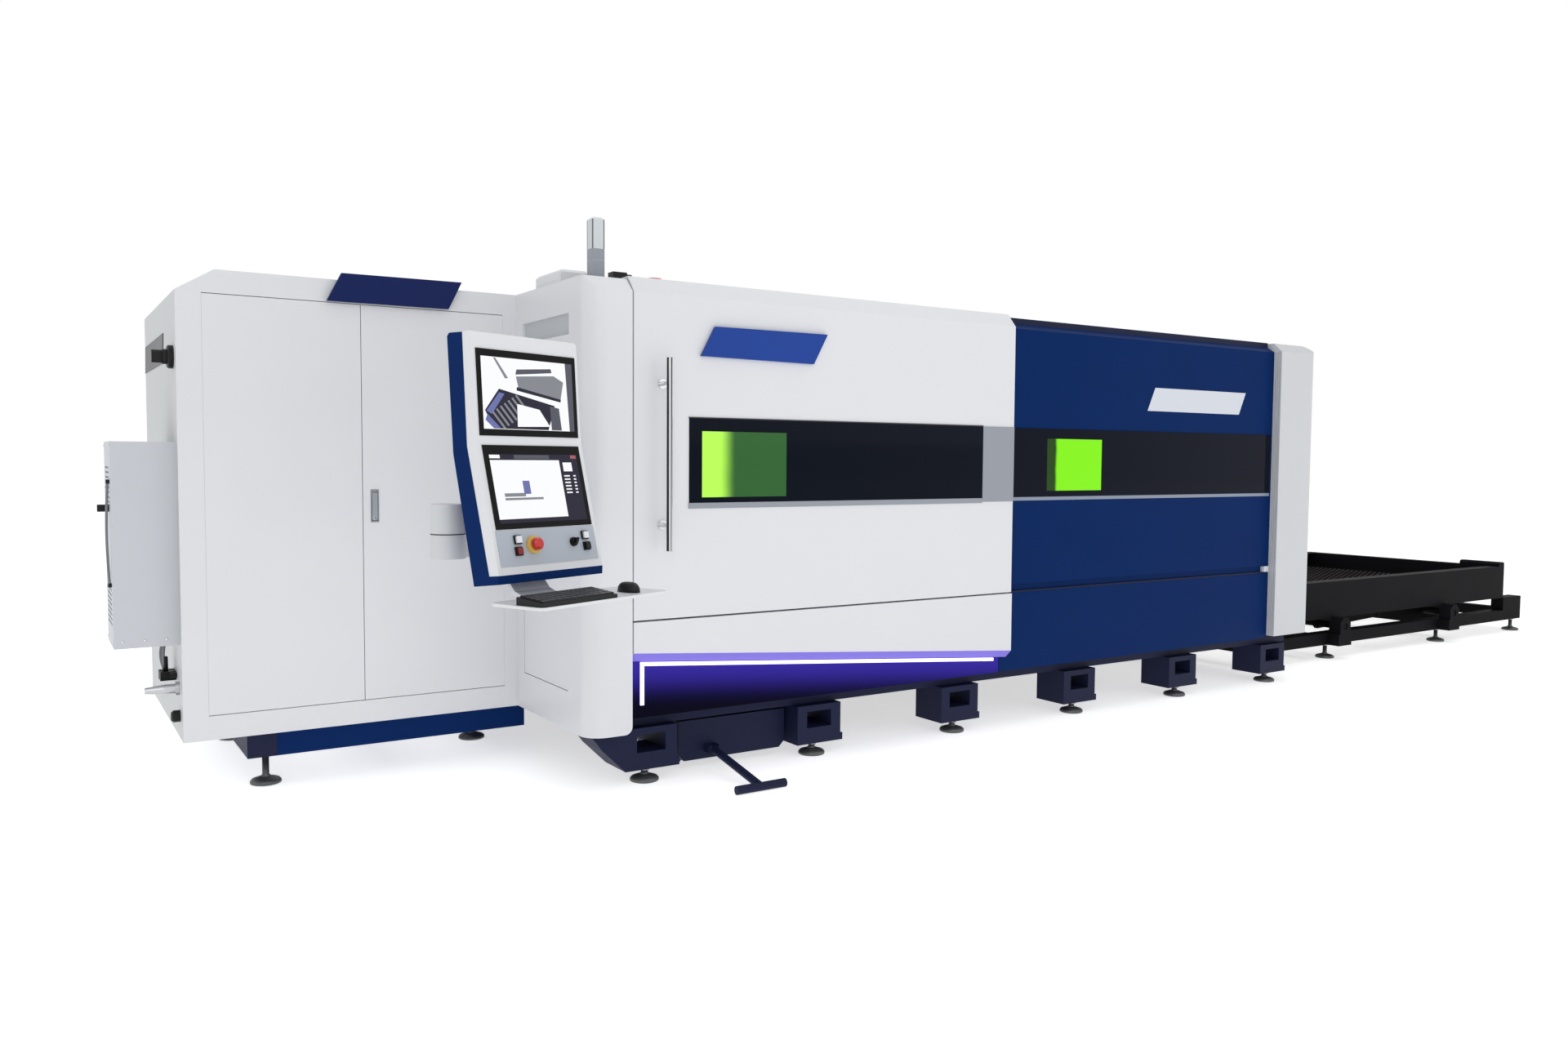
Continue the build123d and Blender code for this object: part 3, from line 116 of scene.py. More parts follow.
class Wires:
    """Adds and joins the nodes of one shader tree."""

    def __init__(self, tree: bpy.types.NodeTree) -> None:
        """Keep the tree."""
        self.tree = tree

    @classmethod
    def of_material(cls, name: str) -> tuple["Wires", bpy.types.Node, bpy.types.Material]:
        """Make a material.

        Args:
            name: The material's name.

        Returns:
            Its wiring, its main shader and the material.
        """
        material = bpy.data.materials.new(name)
        material.use_nodes = True
        tree = material.node_tree
        return cls(tree), tree.nodes["Principled BSDF"], material

    def join(self, node: bpy.types.Node, feeds: dict) -> None:
        """Set a node's inputs.

        Args:
            node: The node.
            feeds: For each input, a constant or the socket that feeds it.
        """
        for key, feed in feeds.items():
            if isinstance(feed, bpy.types.NodeSocket):
                self.tree.links.new(feed, node.inputs[key])
            else:
                node.inputs[key].default_value = feed

    def add(self, kind: str, feeds: Optional[dict] = None, **settings) -> bpy.types.Node:
        """Add a node.

        Args:
            kind: Its type, without the words in front.
            feeds: For each input, a constant or the socket that feeds it.
            settings: Its own settings.

        Returns:
            The node.
        """
        node = self.tree.nodes.new("ShaderNode" + kind)
        for key, setting in settings.items():
            setattr(node, key, setting)
        self.join(node, feeds or {})
        return node

    def math(self, operation: str, *feeds, clamp: bool = False) -> bpy.types.NodeSocket:
        """Add a sum and return its result."""
        return self.add("Math", dict(enumerate(feeds)), operation=operation,
                        use_clamp=clamp).outputs[0]

    def mix(self, share: bpy.types.NodeSocket, low, high) -> bpy.types.NodeSocket:
        """Blend two colours and return the result."""
        return self.add("Mix", {"Factor": share, "A": low, "B": high},
                        data_type="RGBA").outputs["Result"]

    def place(self) -> bpy.types.NodeSocket:
        """Return the surface's place in the piece's own axes."""
        return self.add("TexCoord").outputs["Object"]

    def noise(self, **feeds) -> bpy.types.NodeSocket:
        """Add a noise and return its height."""
        return self.add("TexNoise", feeds).outputs["Fac"]


class ShaderKit:
    """Shared node groups of the finishes, built once and kept by name."""

    def __init__(self) -> None:
        """Build the groups."""
        self.peel = self._peel()
        self.tone = self._tone()
        self.grain = self._grain()

    @staticmethod
    def _group(name: str, inputs: Sequence[tuple[str, str, object]],
               outputs: Sequence[tuple[str, str]]) -> tuple:
        """Start a node group with its sockets.

        Args:
            name: The group's name.
            inputs: Name, socket type and default of each input.
            outputs: Name and socket type of each output.

        Returns:
            The group's wiring, the sockets that its inputs come from, and its output node.
        """
        tree = bpy.data.node_groups.new(name, "ShaderNodeTree")
        for label, kind, default in inputs:
            socket = tree.interface.new_socket(label, in_out="INPUT",
                                               socket_type="NodeSocket" + kind)
            socket.default_value = default
        for label, kind in outputs:
            tree.interface.new_socket(label, in_out="OUTPUT", socket_type="NodeSocket" + kind)
        start = tree.nodes.new("NodeGroupInput")
        return Wires(tree), start.outputs, tree.nodes.new("NodeGroupOutput")

    def _peel(self) -> bpy.types.NodeTree:
        """Powder coat's fine orange peel, as a height."""
        wires, start, end = self._group("orange_peel", [
            ("Scale", "Float", 900.0), ("Waviness", "Float", 0.35)], [("Height", "Float")])
        place = wires.place()
        fine = wires.noise(Scale=start["Scale"], Detail=2.0, Vector=place)
        broad = wires.noise(Scale=2.6, Vector=place)
        wires.join(end, {"Height": wires.math("MULTIPLY_ADD", broad, start["Waviness"], fine)})
        return wires.tree

    def _tone(self) -> bpy.types.NodeTree:
        """Slow colour and roughness variation, and floor dust."""
        wires, start, end = self._group("shop_tone", [
            ("Color", "Color", (0.8, 0.8, 0.8, 1.0)),
            ("Dust Color", "Color", (0.4, 0.38, 0.35, 1.0)),
            ("Variation", "Float", 0.06),
            ("Dust", "Float", 0.2),
            ("Dust Height", "Float", 0.5),
            ("Roughness", "Float", 0.4),
        ], [("Color", "Color"), ("Roughness", "Float")])
        place = wires.place()
        cloud = wires.noise(Scale=3.5, Detail=5.0, Vector=place)
        speck = wires.noise(Scale=34.0, Detail=6.0, Vector=place)
        height = wires.add("SeparateXYZ", {"Vector": place}).outputs["Z"]
        low = wires.math("DIVIDE", height, start["Dust Height"])
        fall = wires.math("SUBTRACT", 1.0, low, clamp=True)
        broken = wires.math("MULTIPLY", fall, speck)
        amount = wires.math("MULTIPLY", broken, start["Dust"], clamp=True)
        centred = wires.math("SUBTRACT", cloud, 0.5)
        shade = wires.math("MULTIPLY_ADD", centred, start["Variation"], 1.0)
        tint = wires.add("VectorMath", {0: start["Color"], "Scale": shade}, operation="SCALE")
        dusty = wires.mix(amount, tint.outputs["Vector"], start["Dust Color"])
        rough = wires.math("MULTIPLY_ADD", centred, 0.12, start["Roughness"])
        dull = wires.math("MULTIPLY_ADD", amount, 0.35, rough, clamp=True)
        wires.join(end, {"Color": dusty, "Roughness": dull})
        return wires.tree

    def _grain(self) -> bpy.types.NodeTree:
        """Brushed or rolled metal's grain, stretched along one direction."""
        wires, start, end = self._group("metal_grain", [
            ("Stretch", "Vector", (4.0, 160.0, 160.0))], [("Height", "Float")])
        way = wires.add("VectorMath", {0: wires.place(), 1: start["Stretch"]},
                        operation="MULTIPLY")
        noise = wires.noise(Scale=4.0, Detail=4.0, Vector=way.outputs["Vector"])
        wires.join(end, {"Height": noise})
        return wires.tree


@dataclass(frozen=True)
class Finish:
    """A painted, moulded or metal surface.

    Attributes:
        name: The material's name.
        colour: Base colour.
        roughness: Mean roughness.
        metallic: 1 for bare metal.
        peel: Scale of the orange peel or moulded grain.
        depth: Strength of the bump.
        variation: Slow change of tone.
        dust: Dust near the floor.
        dust_height: Height at which the dust ends, m.
        dust_colour: Colour of the dust.
        coat: Weight of the clear coat.
        gloss: Strength of the reflection off the surface.
        grain: Direction of a metal's grain, or none.
    """

    name: str
    colour: Colour
    roughness: float = 0.4
    metallic: float = 0.0
    peel: float = 900.0
    depth: float = 0.05
    variation: float = 0.05
    dust: float = 0.25
    dust_height: float = 0.35
    dust_colour: Colour = (0.30, 0.29, 0.27)
    coat: float = 0.0
    gloss: float = 0.5
    grain: Optional[Axis] = None

    def build(self, kit: ShaderKit) -> bpy.types.Material:
        """Make the material.

        Args:
            kit: The shared node groups.

        Returns:
            The material.
        """
        wires, shader, material = Wires.of_material(self.name)
        tone = wires.add("Group", {
            "Color": rgba(self.colour), "Dust Color": rgba(self.dust_colour),
            "Variation": self.variation, "Dust": self.dust, "Dust Height": self.dust_height,
            "Roughness": self.roughness}, node_tree=kit.tone)
        if self.grain is None:
            texture = wires.add("Group", {"Scale": self.peel}, node_tree=kit.peel)
        else:
            stretch = {Axis.X: (4, 160, 160), Axis.Y: (160, 4, 160), Axis.Z: (160, 160, 4)}
            texture = wires.add("Group", {"Stretch": stretch[self.grain]}, node_tree=kit.grain)
        bump = wires.add("Bump", {"Strength": self.depth, "Distance": 0.002,
                                  "Height": texture.outputs["Height"]})
        wires.join(shader, {
            "Metallic": self.metallic, "Coat Weight": self.coat, "Coat Roughness": 0.12,
            "Specular IOR Level": self.gloss, "Base Color": tone.outputs["Color"],
            "Roughness": tone.outputs["Roughness"], "Normal": bump.outputs["Normal"]})
        return material


@dataclass(frozen=True)
class GlassFinish:
    """Tinted sheet, whose tone changes from its left to its right; on the green panes the change
    and the glow are painted light of the lit inside seen through them.

    Attributes:
        name: The material's name.
        colour: Colour at the left.
        right_colour: Colour at the right.
        left: x at which the change starts, mm.
        right: x at which the change ends, mm.
        roughness: Roughness.
        glow: Strength of the tint's painted glow.
        gloss: Strength of the reflection off the surface.
    """

    name: str
    colour: Colour
    right_colour: Colour
    left: float = 480.0
    right: float = 4700.0
    roughness: float = 0.05
    glow: float = 0.0
    gloss: float = 0.12

    def build(self, kit: ShaderKit) -> bpy.types.Material:
        """Make the material.

        Args:
            kit: Not used.

        Returns:
            The material.
        """
        wires, shader, material = Wires.of_material(self.name)
        place = wires.place()
        cloud = wires.noise(Scale=9.0, Detail=1.0, Vector=place)
        along = wires.add("SeparateXYZ", {"Vector": place}).outputs["X"]
        ramp = wires.add("MapRange", {
            "From Min": at(self.left, 0, 0).x, "From Max": at(self.right, 0, 0).x,
            "Value": wires.math("MULTIPLY_ADD", cloud, 0.012, along)},
            interpolation_type="SMOOTHSTEP")
        tint = wires.mix(ramp.outputs["Result"], rgba(self.colour), rgba(self.right_colour))
        wires.join(shader, {"Roughness": self.roughness, "Metallic": 0.0,
                            "Specular IOR Level": self.gloss, "Base Color": tint})
        # painted glow: the tint emits as if lit from behind
        if self.glow > 0:
            wires.join(shader, {"Emission Color": tint, "Emission Strength": self.glow})
        return material


@dataclass(frozen=True)
class GlowFinish:
    """A lit diffuser.

    Attributes:
        name: The material's name.
        colour: Colour of the light.
        strength: Strength of the light.
    """

    name: str
    colour: Colour
    strength: float

    def build(self, kit: ShaderKit) -> bpy.types.Material:
        """Make the material.

        Args:
            kit: Not used.

        Returns:
            The material.
        """
        wires, shader, material = Wires.of_material(self.name)
        bright = tuple(min(1.0, channel * 1.1) for channel in self.colour)
        diodes = wires.noise(Scale=40.0, Vector=wires.place())
        wires.join(shader, {
            "Roughness": 0.4, "Specular IOR Level": 0.05, "Base Color": (0.02, 0.02, 0.03, 1.0),
            "Emission Strength": self.strength,
            "Emission Color": wires.mix(diodes, rgba(self.colour), rgba(bright))})
        return material


@dataclass(frozen=True)
class PaintedStripGlowFinish:
    """A painted sheet with the light strip's glow painted onto it as emission, fading down from
    the strip along its sloping upper edge.

    Attributes:
        name: The material's name.
        colour: Colour of the paint.
        light: Colour of the strip's painted glow on it.
        left: x and height of the strip's left end, mm.
        right: x and height of the strip's right end, mm.
        reach: Distance under the strip at which the painted glow has gone, mm.
    """

    name: str
    colour: Colour
    light: Colour
    left: tuple[float, float]
    right: tuple[float, float]
    reach: float

    def build(self, kit: ShaderKit) -> bpy.types.Material:
        """Make the material.

        Args:
            kit: The shared node groups.

        Returns:
            The material.
        """
        material = Finish(self.name, self.colour, 0.42, depth=0.08, variation=0.1,
                          dust=0.0, gloss=0.03).build(kit)
        wires = Wires(material.node_tree)
        start, end = at(self.left[0], 0, self.left[1]), at(self.right[0], 0, self.right[1])
        slope = (end.z - start.z) / (end.x - start.x)
        place = wires.add("SeparateXYZ", {"Vector": wires.place()}).outputs
        line = wires.math("MULTIPLY_ADD", place["X"], slope, start.z - slope * start.x)
        near = wires.add("MapRange", {
            "From Min": self.reach / 1000, "From Max": 0.0,
            "Value": wires.math("SUBTRACT", line, place["Z"])},
            interpolation_type="SMOOTHERSTEP")
        fade = wires.math("POWER", near.outputs["Result"], 1.8)
        # painted glow: emission standing in for the strip's light on the sheet, strongest at the
        # strip
        wires.join(wires.tree.nodes["Principled BSDF"], {
            "Emission Color": wires.mix(fade, (0.0, 0.0, 0.0, 1.0), rgba(self.light)),
            "Emission Strength": 1.0})
        return material


class Look(Enum):
    """The finishes of the machine's pieces."""

    WHITE = Finish("white_powder_coat", paint(224, 225, 228), 0.42, depth=0.10, variation=0.03,
                   dust=0.12, dust_height=0.6, coat=0.12)
    BLUE = Finish("blue_powder_coat", paint(8, 40, 93), 0.4, depth=0.10, variation=0.16,
                  dust=0.10, dust_height=0.7, gloss=0.03, dust_colour=(0.03, 0.04, 0.10))
    NAVY = Finish("navy_bed_paint", paint(20, 27, 58), 0.5, depth=0.16, variation=0.25,
                  dust=0.4, dust_height=0.4, dust_colour=(0.03, 0.03, 0.05), gloss=0.15)
    TABLE = Finish("table_paint", paint(15, 15, 18), 0.6, depth=0.22, variation=0.35,
                   dust=0.5, dust_height=0.5, dust_colour=(0.012, 0.012, 0.012), gloss=0.06)
    COOLER = Finish("cooler_grey", paint(200, 203, 208), 0.45, depth=0.10, variation=0.04)
    TRIM = Finish("grey_trim_paint", paint(146, 151, 160), 0.38, depth=0.06, variation=0.05)
    ARM = Finish("grey_arm_paint", paint(206, 208, 211), 0.4, depth=0.08, variation=0.05)
    PANEL = Finish("button_plate_grey", paint(176, 184, 194), 0.36, depth=0.04)
    SIGN = Finish("sign_blue", paint(20, 62, 148), 0.3, depth=0.05, variation=0.12, gloss=0.2)
    CHROME = Finish("polished_steel", (0.62, 0.63, 0.65), 0.16, 1.0, depth=0.03, grain=Axis.Z)
    RAIL = Finish("ground_steel", (0.5, 0.5, 0.52), 0.3, 1.0, depth=0.06, grain=Axis.X)
    FOOT = Finish("foot_steel", (0.05, 0.055, 0.065), 0.34, 0.5, depth=0.12, variation=0.3,
                  dust=0.5, dust_height=0.12)
    SLAT = Finish("burnt_steel", (0.085, 0.075, 0.07), 0.62, 0.6, depth=0.5, variation=0.8,
                  grain=Axis.Y, dust=0.0)
    BLACK = Finish("black_plastic", paint(16, 16, 18), 0.42, peel=1600.0, depth=0.12, gloss=0.25)
    KEYS = Finish("key_black", paint(30, 30, 34), 0.34, peel=2200.0, depth=0.10, gloss=0.3)
    LEVER = Finish("lever_grey", paint(168, 172, 178), 0.3, 0.5, depth=0.04, dust=0.0)
    RECESS = Finish("recess_grey", paint(186, 189, 192), 0.4, depth=0.05)
    # painted reflection: dark bands on the chrome handle
    HANDLE_PAINTED_REFLECTION = Finish("handle_painted_reflection", paint(44, 42, 44), 0.25, 0.8, depth=0.03, dust=0.0)
    DULL_SIGN = Finish("dark_plate", paint(38, 40, 46), 0.35, depth=0.04, gloss=0.2)
    RED = Finish("red_plastic", paint(196, 34, 30), 0.28, peel=1200.0, depth=0.04, coat=0.2)
    DARK_RED = Finish("dark_red_plastic", paint(120, 14, 22), 0.26, peel=1200.0, depth=0.04)
    YELLOW = Finish("yellow_collar", paint(224, 186, 92), 0.34, peel=1200.0, depth=0.04)
    BUTTON = Finish("white_button", paint(236, 238, 240), 0.24, peel=1200.0, depth=0.03)
    DRIVE = Finish("drive_housing", paint(60, 63, 68), 0.45, peel=1400.0, depth=0.12)
    SHEATH = Finish("grey_sheath", paint(120, 122, 126), 0.5, peel=1500.0, depth=0.15)
    # dark joints, seals and keyhole, and also painted shade on the skirt's ledge and at the
    # arm's joint
    SEAM_AND_SHADE = Finish("seam_shadow", paint(44, 46, 52), 0.7, depth=0.05)
    LENS = Finish("tower_lens", paint(206, 211, 214), 0.18, peel=600.0, depth=0.05, coat=0.4)
    TOWER = Finish("tower_foot", paint(96, 100, 106), 0.35, peel=900.0, depth=0.06)
    BEZEL = Finish("screen_bezel", paint(9, 9, 11), 0.3, peel=1600.0, depth=0.02, gloss=0.12)
    LABEL = Finish("bare_plate", paint(214, 218, 226), 0.35, depth=0.03)
    DARK_GLASS = GlassFinish("tinted_glass", paint(7, 14, 26), paint(17, 20, 34), gloss=0.06)
    # green panes: the bright and dark parts and the glow are painted light of the lit inside
    # behind them
    DOOR_GREEN = GlassFinish("door_shield", paint(176, 244, 84), paint(46, 92, 46), 625.0, 720.0,
                             0.08, 0.22)
    FIXED_GREEN = GlassFinish("fixed_shield", paint(34, 66, 18), paint(124, 226, 20), 2790.0,
                              2815.0, 0.08, 0.22)
    LED = GlowFinish("blue_white_light", (0.62, 0.58, 1.0), 2.6)
    LED_CORE = GlowFinish("white_light", (0.92, 0.92, 1.0), 1.8)
    # painted strip glow on the base panel and on the white skirt's lower lip; the lip's lavender
    # base colour is painted strip light too
    BLUE_PAINTED_GLOW = PaintedStripGlowFinish("blue_painted_strip_glow", paint(5, 5, 24), (0.036, 0.021, 0.33), (262.0, 555.0),
                        (2340.0, 392.0), 250.0)
    LIP_PAINTED_GLOW = PaintedStripGlowFinish("lip_painted_strip_glow", paint(104, 96, 160), (0.12, 0.09, 0.42), (211.0, 640.0),
                     (2431.0, 466.0), 420.0)
    PALE_LINE = Finish("window_strip", paint(132, 142, 160), 0.35, depth=0.03)
    SHADE_WHITE = Finish("shaded_powder_coat", paint(198, 201, 202), 0.45, depth=0.10,
                         variation=0.03, dust=0.12, dust_height=0.6)
    # painted shade: a darker copy of the white paint, for the right end shell
    SHADED_END_WHITE = Finish("end_powder_coat_painted_shade", paint(206, 208, 211), 0.42, depth=0.10, variation=0.03,
                       dust=0.12, dust_height=0.6)
    DEEP_SIGN = Finish("deep_sign_blue", paint(12, 30, 84), 0.3, depth=0.05, gloss=0.15)
    VIEW_WHITE = GlowFinish("screen_white", (0.96, 0.97, 0.98), 0.97)
    VIEW_GREY = GlowFinish("screen_grey", (0.36, 0.38, 0.41), 0.6)
    VIEW_DARK = GlowFinish("screen_dark", (0.03, 0.025, 0.045), 0.4)
    VIEW_MID = GlowFinish("screen_mid", (0.16, 0.17, 0.20), 0.5)
    VIEW_BLUE = GlowFinish("screen_blue", (0.22, 0.26, 0.62), 0.6)
    VIEW_RED = GlowFinish("screen_red", (0.62, 0.16, 0.18), 0.6)


class Paintshop:
    """Makes each finish once and hands it out."""

    def __init__(self) -> None:
        """Start with no material made."""
        self.kit = ShaderKit()
        self.made: dict[str, bpy.types.Material] = {}

    def get(self, finish: Look) -> bpy.types.Material:
        """Return a finish's material.

        Args:
            finish: Which finish.

        Returns:
            The material.
        """
        if finish.name not in self.made:
            self.made[finish.name] = finish.value.build(self.kit)
        return self.made[finish.name]

    def coat(self, piece: bpy.types.Object, *finishes: Look) -> None:
        """Give an object its material slots.

        Args:
            piece: The object.
            finishes: The finishes, in slot order.
        """
        piece.data.materials.clear()
        for finish in finishes:
            piece.data.materials.append(self.get(finish))


class PieceMaker:
    """Mesh builder for one piece, in the machine's millimetres."""

    def __init__(self, name: str, shop: Paintshop) -> None:
        """Start an empty piece.

        Args:
            name: The piece's name.
            shop: Source of the finishes.
        """
        self.name = name
        self.shop = shop
        self.mesh = bmesh.new()
        self.finishes: list[Look] = []

    def _slot(self, finish: Look) -> int:
        """Return a finish's slot number, and add it where it is new."""
        if finish not in self.finishes:
            self.finishes.append(finish)
        return self.finishes.index(finish)

    def _paint_new(self, before: set, finish: Look, smooth: bool) -> None:
        """Give the faces made since a moment their finish."""
        slot = self._slot(finish)
        for face in self.mesh.faces:
            if face not in before:
                face.material_index = slot
                face.smooth = smooth

    def paint_since(self, before: set, finish: Look) -> None:
        """Close the normals of the faces made since a moment and paint them."""
        bmesh.ops.recalc_face_normals(
            self.mesh, faces=[face for face in self.mesh.faces if face not in before])
        self._paint_new(before, finish, True)

    def prism(self, outline: Sequence[Vector], push: Vector, finish: Look,
              bevel: float = 0.0, smooth: bool = False) -> "PieceMaker":
        """Add a straight prism.

        Args:
            outline: Corners of its first face, in metres.
            push: The way to its other face, in metres.
            finish: Its finish.
            bevel: Edge rounding, in mm.
            smooth: Whether its faces are shaded smooth.

        Returns:
            The maker itself.
        """
        before = set(self.mesh.faces)
        low = [self.mesh.verts.new(point) for point in outline]
        high = [self.mesh.verts.new(point + push) for point in outline]
        faces = [self.mesh.faces.new(low), self.mesh.faces.new(list(reversed(high)))]
        count = len(outline)
        for i in range(count):
            j = (i + 1) % count
            faces.append(self.mesh.faces.new([low[j], low[i], high[i], high[j]]))
        bmesh.ops.recalc_face_normals(self.mesh, faces=faces)
        if bevel > 0:
            edges = list(dict.fromkeys(edge for face in faces for edge in face.edges))
            bmesh.ops.bevel(self.mesh, geom=edges, offset=bevel / 1000, segments=2,
                            profile=0.6, affect="EDGES", clamp_overlap=True)
        self._paint_new(before, finish, smooth)
        return self

    def block(self, x0: float, x1: float, y0: float, y1: float, z0: float, z1: float,
              finish: Look, bevel: float = 1.0) -> "PieceMaker":
        """Add a box with eased edges, from its corners in mm.

        Args:
            x0: Low x.
            x1: High x.
            y0: Low y.
            y1: High y.
            z0: Low z.
            z1: High z.
            finish: Its finish.
            bevel: Edge rounding, in mm.

        Returns:
            The maker itself.
        """
        outline = [at(x0, y0, z0), at(x1, y0, z0), at(x1, y1, z0), at(x0, y1, z0)]
        return self.prism(outline, Vector((0, 0, (z1 - z0) / 1000)), finish, bevel)

    def skin(self, rings: Sequence[Sequence[bmesh.types.BMVert]]) -> None:
        """Join rings of corners, each with the same number, into a closed skin."""
        sides = len(rings[0])
        for low, high in zip(rings, rings[1:]):
            for i in range(sides):
                j = (i + 1) % sides
                self.mesh.faces.new([low[i], low[j], high[j], high[i]])
        self.mesh.faces.new(list(reversed(rings[0])))
        self.mesh.faces.new(rings[-1])

    def turned(self, centre: Vector, direction: Vector, profile: Sequence[tuple[float, float]],
               finish: Look, sides: int = 28) -> "PieceMaker":
        """Add a turned piece.

        Args:
            centre: Start of its axis, in metres.
            direction: Its axis.
            profile: Distance along the axis and radius of each ring, in mm.
            finish: Its finish.
            sides: Number of sides.

        Returns:
            The maker itself.
        """
        before = set(self.mesh.faces)
        axis = direction.normalized()
        turn = axis.to_track_quat("Z", "Y").to_matrix()
        rings = []
        for along, radius in profile:
            ring = []
            for i in range(sides):
                angle = 2 * math.pi * i / sides
                spoke = turn @ Vector((math.cos(angle), math.sin(angle), 0))
                point = centre + axis * along / 1000 + spoke * radius / 1000
                ring.append(self.mesh.verts.new(point))
            rings.append(ring)
        self.skin(rings)
        self._paint_new(before, finish, True)
        for face in self.mesh.faces:
            if face not in before and len(face.verts) == sides and sides > 4:
                face.smooth = False
        return self

    def hose(self, points: Sequence[Vector], radius: float, finish: Look,
             sides: int = 14) -> "PieceMaker":
        """Add a round bar that follows smooth points.

        Args:
            points: The way of its middle, in metres.
            radius: Its radius, in mm.
            finish: Its finish.
            sides: Number of sides.

        Returns:
            The maker itself.
        """
        before = set(self.mesh.faces)
        rings = []
        side = Vector((0.0, 0.0, 1.0))
        for i, point in enumerate(points):
            ahead = points[min(i + 1, len(points) - 1)] - points[max(i - 1, 0)]
            ahead.normalize()
            if abs(ahead.dot(side)) > 0.9:
                side = Vector((1.0, 0.3, 0.0)).normalized()
            across = ahead.cross(side).normalized()
            side = across.cross(ahead).normalized()
            ring = []
            for k in range(sides):
                angle = 2 * math.pi * k / sides
                spoke = across * math.cos(angle) + side * math.sin(angle)
                ring.append(self.mesh.verts.new(point + spoke * radius / 1000))
            rings.append(ring)
        self.skin(rings)
        self.paint_since(before, finish)
        return self

    def finish(self, body: str, slot: str) -> bpy.types.Object:
        """Close the piece and make it ride on its body.

        Args:
            body: The CAD body that carries it.
            slot: Not used.

        Returns:
            The object.
        """
        data = bpy.data.meshes.new(self.name)
        piece = bpy.data.objects.new(self.name, data)
        bpy.context.scene.collection.objects.link(piece)
        self.shop.coat(piece, *self.finishes)
        self.mesh.to_mesh(data)
        self.mesh.free()
        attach(piece, body)
        LOG.info("piece %s: %d faces on %s", self.name, len(data.polygons), body)
        return piece


